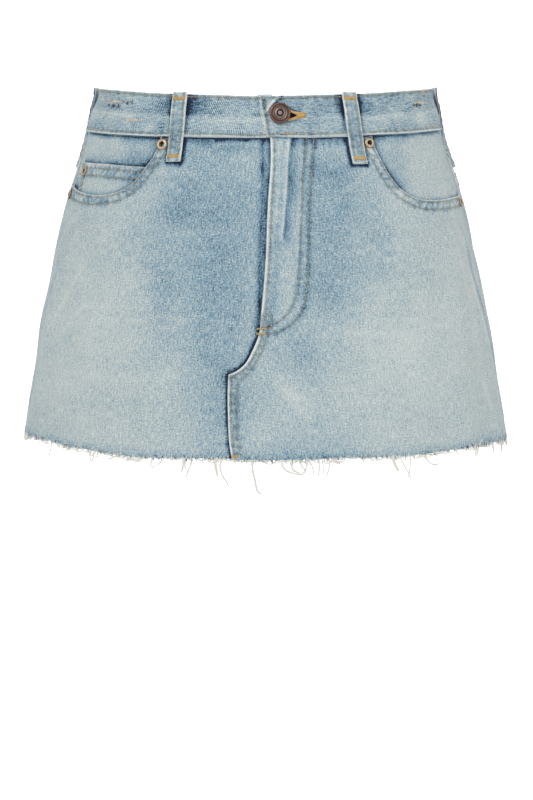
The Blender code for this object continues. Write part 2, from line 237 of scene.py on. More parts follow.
# Creases: around and level of one end and of the other, half width, and height, - for a trough.
CREASES = [
    (7.2, -47, 5.8, -86, 1.5, 1.2), (6, -78, 4.3, -128, 1.8, 1.1), (8.3, -50, 7, -88, 2, -0.9),
    (7.1, -84, 5.4, -130, 2.8, -0.9), (4, -138, 2.2, -196, 2.4, -0.6), (9.3, -60, 6.4, -160, 2.6, 0.6),
    (3.4, -60, 2.4, -170, 3.6, -0.35), (-1.2, -50, -2.2, -205, 4, -1.3),
    (-4.4, -56, -4.8, -190, 6, 0.7), (-20, -29, -2, -34.5, 2.6, -0.7), (-24, -24, -3, -28.5, 4, 0.7),
    (0, -25, 4.6, -10, 1.6, 1.3), (1.4, -26, 6, -11, 1.6, -0.9), (-26, -32, -12, -32.5, 2, 0.6),
    (-34, -33, -48, -30, 2.4, 0.7), (-37, -27, -60, -21, 3, -0.8), (-44, -20, -70, -14, 3.6, 0.7),
    (8, -31.5, 24, -29, 2.2, 0.8), (8, -25, 22, -20, 2.6, -0.6), (36, -31, 60, -27, 2.6, 0.7),
    (33, -22, 52, -15, 3.4, -0.7), (9, -33, 8.8, -44, 1.8, -0.5), (11.5, -35, 11.3, -44, 1.8, 0.5),
    (14.2, -34, 14.3, -44, 1.8, -0.5), (17.2, -35, 17.3, -44, 1.8, 0.5),
    (20.4, -35, 20.6, -44, 1.8, -0.5), (8.2, -47, 8, -56, 1.5, -0.55), (10, -47, 9.8, -58, 1.5, 0.5),
    (12, -47, 11.7, -57, 1.5, -0.55), (13.8, -47, 13.4, -56, 1.5, 0.5),
    (15.8, -47, 15.2, -58, 1.6, -0.5), (18, -47, 17.4, -57, 1.6, 0.5), (20, -47, 19.6, -56, 1.6, -0.5),
    (22.4, -47, 22, -55, 1.8, 0.45), (-4, -50.5, -12.5, -49.5, 1.6, 0.8), (-4, -54, -16, -53, 2, -0.6),
    (-12, -48, -14, -62, 4, 0.5), (-20, -47, -22, -58, 4, -0.5), (27, -70, 16, -84, 4, -0.5),
    (-8, -128, -30, -150, 14, -0.7), (8, -214, 30, -228, 14, 0.8), (-12, -225, -38, -238, 14, 0.7),
    (14, -165, 36, -172, 12, -0.6), (-63, -120, -66, -290, 9, -0.9), (-72, -150, -75, -296, 7, 0.9),
    (64, -140, 66, -296, 8, -0.9), (73, -170, 75, -298, 6, 1), (-38, -226, -41, -304, 16, 0.9),
    (-22, -240, -24, -306, 13, -0.8), (28, -232, 26, -306, 16, 0.9), (45, -240, 48, -303, 13, -0.8),
    (95, -100, 92, -290, 10, -1), (104, -120, 103, -290, 9, 0.9), (-95, -90, -93, -280, 10, -0.9),
    (-106, -130, -104, -290, 9, 0.8), (148, -236, 152, -304, 15, 1), (133, -240, 131, -304, 13, -0.9),
    (-146, -236, -149, -304, 15, -0.9), (-128, -236, -127, -304, 14, 0.9),
    (170, -100, 160, -130, 8, -0.7), (-170, -104, -158, -136, 8, -0.7), (172, -190, 158, -212, 10, 0.8),
    (-171, -196, -157, -216, 10, 0.8),
]
# Dents and ridges of the waistband alone, beside which the side belt loops stand clear.
BAND_CREASES = [
    (-90, 16, -91, -19, 26, -3), (90, 15, 91, -18, 25, -2.8), (-98, -28, -74, -28, 3.2, 0.8),
    (76, -26, 98, -27, 3.2, 0.6),
]
LOOP_DENT = 0.7
SWELL_HEIGHT = 0.28
SWELL_WAVES = 7
SWELL_LENGTH = (28.0, 70.0)

# Fading: around, level, reach across, reach down, and change of dye. Dye lies between 0 and 1.
PLAIN_DYE = 0.37
FADES = [
    (-11, -160, 40, 95, 0.24), (-9, -92, 30, 34, 0.05), (-25, -94, 20, 26, 0.17),
    (-31, -128, 22, 22, 0.09), (-37, -72, 12, 14, 0.06), (-2.5, -172, 10, 40, -0.07),
    (17, -66, 22, 14, 0.05), (14, -172, 18, 18, 0.1), (8, -215, 18, 18, 0.1), (11, -262, 22, 30, 0.07),
    (66, -170, 16, 90, -0.05), (-9, -270, 22, 34, 0.1), (17, -130, 34, 60, 0.2),
    (19, -74, 30, 16, 0.12), (10, -232, 20, 18, 0.06), (-22, -56, 30, 11, 0.1),
    (30, -100, 14, 30, 0.05), (4, -120, 6, 70, -0.04), (-52, -205, 60, 60, -0.07),
    (-50, -270, 50, 30, -0.03), (34, -222, 34, 42, -0.09), (56, -210, 40, 70, -0.06),
    (9, -255, 16, 24, -0.05), (-27, -178, 14, 24, 0.13), (-22, -243, 10, 18, -0.05),
    (80, -180, 14, 40, -0.05), (22, -96, 9, 14, 0.1), (9, -120, 6, 18, -0.07), (10, -303, 44, 13, 0.12),
    (64, -303, 26, 9, 0.05), (180, -303, 60, 12, 0.08), (-180, -303, 60, 12, 0.08),
    (34, -155, 18, 40, 0.06), (-19, -80, 8, 14, 0.05), (-5, -96, 7, 16, 0.05),
    (180, -190, 28, 110, 0.16), (-180, -190, 28, 110, 0.16), (136, -165, 60, 62, -0.08),
    (-136, -165, 60, 62, -0.08), (100, -150, 22, 120, 0.08), (-100, -150, 22, 120, 0.08),
]
BAND_FADES = [
    (-23, -17, 9, 10, 0.26), (-18, -20, 13, 7, 0.12), (-6, -17, 14, 6, 0.06), (-35, -19, 9, 9, 0.2),
    (-34.5, -36, 4, 7, 0.22), (-41, -24, 8, 5, 0.12), (-57, -13, 12, 5, 0.04), (-70, -24, 14, 4, -0.04),
    (23.5, -16, 9, 10, 0.26), (17.5, -19, 7, 8, 0.12), (11, -17, 4, 9, 0.14), (34, -20, 8, 9, 0.18),
    (43, -13, 12, 6, 0.1), (60, -26, 20, 4, 0.05), (6, -20, 10, 12, 0.08), (16, -33, 18, 8, 0.04),
    (60, -29, 9, 7, -0.2), (-46, -14, 8, 6, -0.06), (48, -25, 7, 7, -0.07), (14, -32, 8, 5, 0.14),
    (-44, -30, 7, 6, 0.06), (-8, -35, 6, 4, 0.06), (100, -20, 22, 20, 0.12), (-100, -20, 22, 20, 0.12),
    (118, -14, 14, 8, 0.1), (-124, -26, 14, 6, 0.08), (150, -24, 16, 6, -0.06),
    (-146, -14, 18, 7, 0.08), (180, -20, 22, 20, 0.14), (-180, -20, 22, 20, 0.14),
]
# The cloth behind the pockets' mouths is darker: less faded where the mouths have covered it, and painted
# shade under them.
POCKET_FADES = [
    (-44.5, -63, 14, 13, 0.22), (-45, -78, 12, 12, 0.09), (-60, -62, 16, 8, 0.12), (44, -60, 10, 16, 0.12),
]
# Soft lines where the cloth was folded in wear: reach, change of dye, and around and level of points.
STREAKS = [
    (3, -0.06, 19.7, -139, 30, -137, 42, -134), (2.6, -0.05, 22, -147, 31, -145, 38, -143),
    (2.8, -0.06, 24, -170, 30, -168, 37, -165), (3, -0.05, 25.6, -178, 34.5, -175, 43, -172),
    (3, -0.05, 14, -206, 26, -204, 36, -207), (3.4, -0.04, 16, -262, 30, -260, 42, -263),
    (3.4, -0.04, 0.4, -228, 4.5, -250, 9.5, -272), (4, -0.04, 2.3, -235, 8, -258, 13, -270),
    (3.2, -0.07, -71.5, -204, -63.7, -179, -56.5, -152), (3, -0.05, -62, -206, -56, -192, -50.6, -179),
    (3.2, 0.04, -68, -226, -60, -214, -52, -204), (3, -0.06, -72, -118, -65, -107),
    (3, -0.07, 64.5, -107, 69.5, -130, 73, -149), (3.4, -0.05, 59.5, -117, 63.2, -134, 64.7, -155),
    (5, 0.08, 70, -120, 73, -160, 76, -190), (4, -0.06, 64.6, -236, 68, -266, 71.5, -295),
    (3.4, -0.06, -32, -125, -20, -123, -8, -122), (3, -0.05, -33, -178, -22, -179, -9, -182),
    (3.4, -0.06, -30, -192, -19, -193.6, -9, -195), (4, 0.05, -40, -148, -26, -150, -14, -149),
    (4, 0.05, -34, -106, -24, -108, -12, -106), (2, -0.1, -31, -72, -28, -82, -24.7, -88),
    (2.2, -0.07, -29, -70, -22, -75, -14, -86), (2.4, -0.07, 30, -72, 26, -84, 20, -92),
    (2, 0.08, 28, -69, 20, -75, 15, -74), (5, 0.08, -14, -226, -9.6, -232, -9.4, -244),
    (4, -0.04, -52, -240, -38, -243, -24, -240), (4, 0.03, -60, -262, -44, -266, -30, -264),
    (1.8, -0.13, 71.4, -128, 70.6, -155, 71.2, -176, 72.8, -196, 74.8, -214, 77, -236),
    (3.2, 0.16, 74.2, -140, 73.6, -160, 74.4, -178, 76.2, -196, 78.2, -214, 80, -232),
    (4.4, 0.09, -74.5, -150, -75.5, -170, -77, -190, -78.5, -208), (2.4, 0.1, -79, -235, -79.5, -262),
    (4, -0.06, 95, -150, 110, -160, 125, -158), (4, -0.06, -98, -140, -112, -152, -130, -150),
    (4, -0.06, 150, -225, 165, -232, 179, -228), (4, -0.06, -150, -232, -165, -226, -179, -230),
    (4, -0.05, 100, -262, 118, -266, 140, -260), (4, -0.05, -96, -250, -120, -258, -142, -254),
]
HEM_DYE = 0.11
HEM_DYE_REACH = (0.5, 9.0)
FLECKS = 0.5
FLECKS_REACH = (0.6, 4.0)
# What a row of stitches leaves on the cloth: painted shade in its holes and beside it, its stain, and the
# wear of its puckers' crests and painted shade in their troughs.
ROW_PAINTED_SHADE = 0.26
ROW_BROWN = 0.42
CREST_WEAR = 0.2
TROUGH_PAINTED_SHADE = 0.1

# Long loose threads of the hem: around, thickness, start below the hem, then steps aside and below.
LONG_THREADS = [
    (-77, 0.3, -1, 1, 3, 0, 6), (-75, 0.3, -1, -2, 3, -3, 5), (-59, 0.22, -1, -0.5, 7, -1.5, 15),
    (-43, 0.22, -1, -1.5, 4, 0.5, 10), (-42, 0.26, -1, -1, 5, -2, 9), (-41, 0.22, -1, -0.5, 3, -2.5, 7),
    (-34.7, 0.22, -1, -6, 3, -11, 4.5), (-28.5, 0.18, -1, -5, 3.5, -10, 1.5),
    (-25.6, 0.2, -1, -2, 5, -0.5, 8, 5, 3), (-22.5, 0.2, -1, -4, 3, -7.5, 6.5),
    (-18.6, 0.28, -1, 0.8, 6, -0.6, 12), (-18, 0.2, -1, 0.2, 5, 0.5, 9),
    (-16.8, 0.24, -1, 1, 4, -1.5, 10, -3.2, 16), (-10.8, 0.34, -1, -0.8, 4, 0.3, 9, 1, 15),
    (-11.2, 0.26, -1, 0.4, 5, 1, 10), (-9.6, 0.24, 1, 2, -1, -1.5, 5, 0.5, 13, 4.5, 19, 6.5, 23),
    (-2.9, 0.28, -1, 0.8, 9, 2.8, 17, 4, 24, 6.5, 26.5, 9, 26.8),
    (3.7, 0.26, -1, 0, 4, 3.5, 8.5, 10, 11, 16, 12, 19.5, 7, 20.5, -1), (5.7, 0.26, -1, 1, 7, 6.5, 11),
    (7.2, 0.2, -1, 3, 5, 6, 9), (9.3, 0.2, -1, 3.6, 5, 5.6, 14), (11.9, 0.2, -1, 0, 8, -1.3, 15),
    (12.7, 0.18, -1, 0.3, 6, 0.4, 13), (14.2, 0.2, -1, 0, 7, -2.8, 15), (15.3, 0.26, -1, 3, 3, 5.5, 5),
    (22, 0.2, -1, 1, 2, 0, 4), (29.4, 0.42, -1, 1.8, 6, 4.3, 12),
    (34.3, 0.22, -1, -1.4, 9, -2.8, 15, -5.6, 21), (31.2, 0.2, -1, 4, 8, 7, 14, 10.5, 21),
    (38, 0.22, -1, 5, 7, 12, 10, 17, 9), (42.6, 0.2, -1, -1.5, 4, -3, 8), (48.9, 0.2, -1, 0.3, 4, 0, 8),
    (56.4, 0.34, -1, 0.5, 5, 0, 9), (57.2, 0.26, -1, 1.5, 4, 1, 8),
    (60.4, 0.34, -4, -3, -2.5, -5.5, 0.5), (59, 0.24, 0, 4, 2, 9, 2), (65, 0.28, -1, 3.5, 4, 2.5, 9),
    (71.5, 0.28, -1, 2, 4, -1, 10), (80, 0.3, -1, 1, 3, 0, 6), (84, 0.28, -1, -1, 4, -2, 7),
    (97, 0.24, -1, -2, 5, -1, 12), (112, 0.22, -1, 2, 6, 6, 10), (124, 0.26, -1, 1, 7, -1, 16),
    (126, 0.22, -1, -2, 4, -1, 9), (139, 0.22, -1, 3, 6, 9, 9, 13, 4), (151, 0.24, -1, -1, 6, -4, 12),
    (163, 0.24, -1, 1, 8, 0, 19), (175, 0.3, -1, -2, 4, -3, 9), (-173, 0.24, -1, 1, 6, 4, 12),
    (-160, 0.24, -1, -1, 5, 1, 14), (-158, 0.2, -1, -2, 5, -6, 8), (-147, 0.26, -1, 2, 7, 3, 18),
    (-135, 0.22, -1, -3, 5, -8, 7, -12, 3), (-122, 0.24, -1, 1, 5, 0, 11),
    (-109, 0.22, -1, -2, 6, -3, 13), (-98, 0.26, -1, 2, 4, 5, 7), (-88, 0.24, -1, 1, 4, 2, 9),
]
LONG_THREAD_SIZE = 3.4
LOOSE_YARN_GAP = 1.4

# Darns on the waistband: around, level, reach across and down, how many threads, and whether they are dark.
DARNS = [
    (-57, -15, 9, 1.6, 34, False), (-57.5, -18.6, 9, 1.6, 34, True), (-49.5, -16, 5, 2.4, 14, True),
    (-68, -12, 3, 3.4, 14, False), (60, -15.8, 8, 1.4, 24, False), (57, -17.5, 7, 1.4, 20, True),
    (63.5, -6.4, 4, 1.4, 18, False), (-46, -31, 10, 0.8, 24, False),
]
# How far a darn's thread runs across and up: the mean and the spread of each.
DARN_RUN = ((0.6, 0.7), (0.9, 0.5))

# Thread: the length of a stitch, the gap to the next, into how many steps the two are cut, how thick it is
# and how high it arches, then its sides, how far it lies off the cloth, and its thickness from end to end.
STITCH = 2.3
STITCH_GAP = 0.8
STITCH_SHARES = 20
THREAD_RADIUS = 0.43
STITCH_RISE = 0.24
THREAD_SIDES = 6
THREAD_LIFT = 0.12
THREAD_TAPER = (0.45, 0.95, 1, 0.95, 0.45)

# Colours as they are named in print, from 0 to 255.
COTTON_WHITE = (226, 233, 231)
FADED_BLUE = (192, 202, 201)
MID_BLUE = (137, 165, 180)
DEEP_BLUE = (82, 114, 137)
INDIGO = (30, 48, 72)
WORN_TAN = (190, 188, 168)
WORN_OCHRE = (216, 184, 126)
PALE_DARN = ((226, 200, 170), (232, 226, 206))
DARK_DARN = ((52, 62, 72), (110, 124, 132))
REVERSE_BLUE = (186, 197, 206)
SOILED = (145, 147, 134)
TAN_THREAD = (134, 130, 110)
OCHRE_THREAD = (182, 140, 74)
CREAM_THREAD = (230, 227, 219)
DARK_METAL = (36, 26, 24)

# Metal by the share of its radius.
BUTTON_RINGS = [
    (0, (188, 168, 166)), (0.18, (172, 152, 148)), (0.25, (56, 32, 30)), (0.32, (26, 12, 12)),
    (0.4, (160, 142, 132)), (0.47, (176, 158, 146)), (0.53, (34, 18, 16)), (0.61, (160, 142, 130)),
    (0.67, (138, 118, 108)), (0.72, (28, 14, 12)), (0.79, (128, 104, 94)), (0.85, (40, 22, 20)),
    (0.92, (190, 138, 124)), (1, (60, 36, 34)),
]
# What is turned, in mm from its axis and above its seat.
BUTTON_PROFILE = [
    (0, 4.1), (1.2, 4.1), (1.75, 3.9), (2, 3.3), (2.5, 3.15), (2.9, 3.5), (3.4, 3.5), (3.8, 3.1), (5.3, 3.15),
    (5.7, 3.5), (6.2, 3.5), (6.6, 3.2), (7.2, 3.35), (7.8, 3.6), (8.3, 3.2), (8.6, 2.4), (8.5, 1.4),
    (7.8, 0.4), (3, 0.2), (2.2, 0), (2.2, -2), (0, -2),
]
RIVET_PROFILE = [
    (0, 1.5), (0.6, 1.45), (0.95, 0.9), (1.1, 0.35), (1.6, 0.3), (1.9, 1.1), (2.4, 1.45), (3.2, 1.5),
    (4, 1.15), (4.45, 0.6), (4.5, 0.1), (4.2, -0.1), (0, -0.1),
]
RIVET_RINGS = [
    (0, (96, 76, 52)), (0.2, (40, 30, 24)), (0.38, (30, 22, 18)), (0.46, (190, 164, 132)),
    (0.62, (242, 222, 192)), (0.8, (222, 198, 166)), (0.9, (232, 212, 182)), (1, (104, 84, 62)),
]
# Each rivet's cloth, by how far its face lies from the figure, and the rivet's size.
RIVETS = {
    "rivet_front_left": (DENIM, 1.0),
    "rivet_front_right": (DENIM, 1.12),
    "rivet_coin": (-LAYER_GAP, 1.0),
    "rivet_side_left": (DENIM, 1.0),
    "rivet_side_right": (DENIM, 1.0),
}
STUDIO_WHITE = (250, 250, 250)
# The floor in metres: its start in front, its turn behind, the height of its end, its bend and half width.
FLOOR = (-6.0, 2.6, 4.0, 1.4, 6.0)
SIDES = {"left": 1, "right": -1}


def linear(colour):
    """A printed colour as the linear one that materials and lights take."""
    return tuple(c / 255 / 12.92 if c <= 10 else ((c / 255 + 0.055) / 1.055) ** 2.4 for c in colour)


# The figure, on arrays


def hermite(stops, values, at):
    """Rows of values on smooth curves through stops."""
    i = np.clip(np.searchsorted(stops, at) - 1, 0, len(stops) - 2)
    span = (stops[i + 1] - stops[i])[:, None]
    s = (at - stops[i])[:, None] / span
    rise = np.gradient(values, stops, axis=0)
    ends = values[i] * (1 + 2 * s) * (1 - s) ** 2 + values[i + 1] * s**2 * (3 - 2 * s)
    return ends + span * (rise[i] * s * (1 - s) ** 2 - rise[i + 1] * s**2 * (1 - s))


def figure(around, level):
    """Points of the figure's surface."""
    around, level = np.atleast_1d(around, level)
    half, front, back = hermite(-SECTIONS[:, 0], SECTIONS[:, 1:], -level).T
    turn = np.radians(around)
    depth = np.where(np.cos(turn) > 0, front, back)
    return np.stack([half * np.sin(turn), -depth * np.cos(turn), level], axis=1)


def tangents(around, level):
    """How the surface moves for one degree around and for one millimetre up."""
    across = (figure(around + 0.2, level) - figure(around - 0.2, level)) / 0.4
    rise = figure(around, level + 0.5) - figure(around, level - 0.5)
    return across, rise


def unit(vectors):
    return vectors / np.linalg.norm(vectors, axis=-1, keepdims=True)


def outward(around, level):
    across, rise = tangents(around, level)
    return unit(np.cross(across, rise))


def place(around, level, out):
    """Points that lie out from the figure, in metres."""
    return (figure(around, level) + outward(around, level) * np.reshape(out, (-1, 1))) * MM


def pace(around, level):
    """Millimetres along the figure for one degree around."""
    return np.linalg.norm(tangents(around, level)[0], axis=1)


def arc(around, level, start, shares=8):
    """Millimetres along the figure from one place around to others at the same levels."""
    steps = (np.arange(shares) + 0.5) / shares
    total = sum(pace(start + (around - start) * step, level) for step in steps)
    return (around - start) * total / shares


def spot(node):
    """Around and level of a small node's middle."""
    low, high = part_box(node)
    x, y, z = (low + high) / 2 / MM
    half, front, back = hermite(-SECTIONS[:, 0], SECTIONS[:, 1:], np.array([-z]))[0]
    return math.degrees(math.atan2(x / half, -y / (front if y < 0 else back))), z


# Lines


def smooth(start, end, value):
    """0 before start, 1 after end, and an even turn between them."""
    share = np.clip((value - start) / (end - start), 0, 1)
    return share * share * (3 - 2 * share)


def between(start, end, line):
    """A shared line's points from one place around to another."""
    count = max(2, math.ceil(abs(end - start) * MM_PER_DEGREE / EDGE_STEP) + 1)
    around = np.linspace(start, end, count)
    return np.stack([around, line(around)], axis=1)


def lengths_along(points):
    """How far along a run of points in space each of them lies."""
    return np.concatenate([[0], np.cumsum(np.linalg.norm(np.diff(points, axis=0), axis=1))])


def curve(points):
    """A smooth line through points."""
    points = np.array(points, float)
    along = lengths_along(figure(*points.T))
    return hermite(along, points, np.linspace(0, along[-1], max(2, round(along[-1] / EDGE_STEP) + 1)))


def straight(points):
    """A line with corners at points, cut into short steps."""
    runs = [curve(pair) for pair in zip(points, points[1:])]
    return np.concatenate([run[:-1] for run in runs] + [runs[-1][-1:]])


def upright(around, start, end):
    """A line up or down at one place around."""
    return straight([(around, float(start)), (around, float(end))])


def closed(line):
    """A line with its first point at its end too."""
    return np.concatenate([line, line[:1]])


def join(*lines):
    """Lines end to end as one outline, without the points that two of them share."""
    points = np.concatenate(lines)
    gaps = np.linalg.norm(figure(*points.T) - figure(*np.roll(points, -1, axis=0).T), axis=1)
    return points[gaps > SHARED_POINT]


def mirrored(line):
    return np.array(line, float) * (-1, 1)


def beside(line, distance):
    """A line moved sideways over the figure, to the left of its direction where distance is positive."""
    around, level = line.T
    run = np.gradient(figure(around, level), axis=0)
    side = np.cross(outward(around, level), unit(run))
    steps = [(side * way).sum(1) / (way**2).sum(1) for way in tangents(around, level)]
    return line + np.stack(steps, axis=1) * distance


def placed(line, spread):
    """Places on a line, at the distances along it that spread gives for its length."""
    along = lengths_along(figure(*line.T))
    return np.stack([np.interp(spread(along[-1]), along, column) for column in line.T], axis=1)


def spaced(line, step):
    """Places along a line that lie a step apart."""
    return placed(line, lambda length: np.arange(0, length, step))


def chunks(items):
    """The numbers of items, in parts that are small enough to compare with a whole line."""
    return np.array_split(np.arange(len(items)), len(items) // CHUNK + 1)


def to_runs(spots, starts, runs, squares):
    """How far spots are from the nearest of some runs, which run that is, and the share of it passed."""
    gap = spots[:, None] - starts
    share = np.clip((gap * runs).sum(-1) / squares, 0, 1)
    distance = np.linalg.norm(gap - share[..., None] * runs, axis=-1)
    best = distance.argmin(1)
    rows = np.arange(len(spots))
    return distance[rows, best], best, share[rows, best]


def nearest(spots, line, reach):
    """How far spots are from a line, up to reach, and how far along it the nearest place is."""
    line = figure(*np.asarray(line, float).T)
    runs = np.diff(line, axis=0)
    lengths = np.linalg.norm(runs, axis=1)
    starts = lengths_along(line)
    away = np.full(len(spots), float(reach))
    along = np.zeros(len(spots))
    close = np.flatnonzero(np.all((spots > line.min(0) - reach) & (spots < line.max(0) + reach), axis=1))
    for part in chunks(close):
        part = close[part]
        distance, best, share = to_runs(spots[part], line[:-1], runs, lengths**2)
        away[part] = np.minimum(reach, distance)
        along[part] = starts[best] + share * lengths[best]
    return away, along


def bell(away, reach):
    """1 on a line and less away from it, about a third at its reach."""
    return np.exp(-((away / reach) ** 2))


def ripple(along, number):
    """The puckers along a row of stitches, from -1 to 1."""
    return np.sin(along / PUCKER_PITCH * math.tau + 2.2 * wobble(along / 17, number))


def wobble(at, seed):
    """Smooth chance numbers from -1 to 1, one turn for each whole number."""
    knots = np.random.default_rng(seed).uniform(-1, 1, 512)
    i = np.floor(at).astype(int)
    s = smooth(0, 1, at - i)
    return knots[i % 512] * (1 - s) + knots[(i + 1) % 512] * s


# Lines that several pieces share


def waist_dip(around, front):
    ahead = np.cos(np.radians(around))
    return np.abs(ahead) ** 1.5 * np.where(ahead > 0, front, WAIST_DIP_BACK)


def waist_edge(around):
    return -waist_dip(around, WAIST_DIP_FRONT)


def band_seam(around):
    low = 1.7 * np.exp(-(((np.asarray(around) + 66) / 34) ** 4))
    dip = waist_dip(around, WAIST_DIP_FRONT - (BAND_HEIGHT_SIDE - BAND_HEIGHT_FRONT))
    return -BAND_HEIGHT_SIDE - dip - low


def band_fold(around):
    """Where the band has been folded in wear, about half way down."""
    return waist_edge(around) - 19.5 + 1.6 * wobble(around / 7, 5)


def yoke_seam(around):
    share = (np.abs(around) - SIDE_SEAM) / (CENTRE_BACK - SIDE_SEAM)
    return YOKE_SIDE + share * (YOKE_CENTRE - YOKE_SIDE)


def hem(around):
    """The raw edge, cut by hand and a little uneven."""
    return np.interp(around, *zip(*HEM)) + 0.6 * wobble(around / 9, 3) + 0.25 * wobble(around / 0.9, 4)


def shifted(line, shift):
    return lambda around: line(around) + shift


def under_band(start, end, drop):
    """A line that lies a little below the band's seam."""
    return between(start, end, shifted(band_seam, -drop))


def lapped_edge():
    return join(curve(FLY_EDGE), curve(LOWER_LAP))


def pocket_mouth(hand):
    """A front pocket's mouth, from the waistband to the side seam."""
    return curve(MOUTH_LEFT) if hand == "left" else mirrored(curve(MOUTH_RIGHT))


def back_pocket(side):
    """The patch pocket's corners, tilted to the yoke seam and laid out along the figure."""
    middle, mouth = BACK_POCKET_AT
    cosine, sine = math.cos(BACK_POCKET_TILT), math.sin(BACK_POCKET_TILT)
    corners = []
    for across, down in BACK_POCKET:
        level = mouth + down * cosine - across * sine
        corners.append((side * walk(middle, level, across * cosine + down * sine), level))
    return corners


def walk(around, level, distance):
    """The place around that lies a distance further along the figure at a level."""
    steps = max(1, math.ceil(abs(distance) / 4))
    for _ in range(steps):
        around += distance / steps / pace(around, level)[0]
    return around


# Forms in the cloth


def pressed(around, level, creases):
    """How far a table's creases move the cloth out."""
    spots = figure(around, level)
    out = np.zeros(len(spots))
    for *ends, width, height in creases:
        line = np.linspace(ends[:2], ends[2:], 12)
        length = lengths_along(figure(*line.T))[-1]
        away, along = nearest(spots, line, 3 * width)
        fading = np.sin(np.pi * np.clip(along / length, 0.04, 0.96)) ** 0.6
        out += height * fading * bell(away, width) * (away < 3 * width)
    return out


def relief(around, level):
    """How far creases and the cloth's own swell move it out."""
    spots = figure(around, level)
    out = pressed(around, level, CREASES)
    draw = np.random.default_rng(11)
    for _ in range(SWELL_WAVES):
        way = unit(draw.normal(size=3) * (1, 1, 0.6))
        length = draw.uniform(*SWELL_LENGTH)
        out += SWELL_HEIGHT * np.sin(spots @ way * math.tau / length + draw.uniform(0, math.tau))
    return out


def lap_lift(around, level):
    """The left front rides over the right one along its edge, and comes down beyond it."""
    foot, low = LOWER_LAP[-1]
    away, _ = nearest(figure(around, level), join(lapped_edge(), np.array([(foot, low - 30.0)])), LAP_END)
    return LAP_LIFT * (1 - smooth(LAP_FLAT, LAP_END, away))


def band_depth(around, level):
    """The band's right end sinks behind its left one, and its sides are dented."""
    dents = pressed(around, level, BAND_CREASES) + pressed(around + FULL_TURN, level, BAND_CREASES)
    return dents - UNDER_DROP * smooth(*UNDER_RAMP, around)


def facing_depth(around, _level):
    return -2 * LIFT + LIFT * smooth(*COIN_RAMP, np.abs(around))


def gape(around, level):
    """A patch pocket's mouth stands open a little at its outer corner."""
    corner = figure(*np.array(back_pocket(1)[:1]).T)
    away = np.linalg.norm(figure(np.abs(around), level) - corner, axis=1)
    return LIFT + GAPE * (1 - smooth(0, GAPE_REACH, away))


def fades(around, level, rows):
    """The change of dye that a table of faded and dark places makes."""
    change = np.zeros(len(around))
    for middle, height, across, down, amount in rows:
        aside = (around - middle) * pace(around, level) / across
        change += amount * np.exp(-(aside**2) - ((level - height) / down) ** 2)
    return change


def brushed(spots, line, reach, amount, uneven, pitch, seed):
    """What a soft line adds at spots, its strength uneven by chance along it."""
    away, along = nearest(spots, line, 3 * reach)
    return amount * bell(away, reach) * (1 + uneven * wobble(along / pitch, seed))


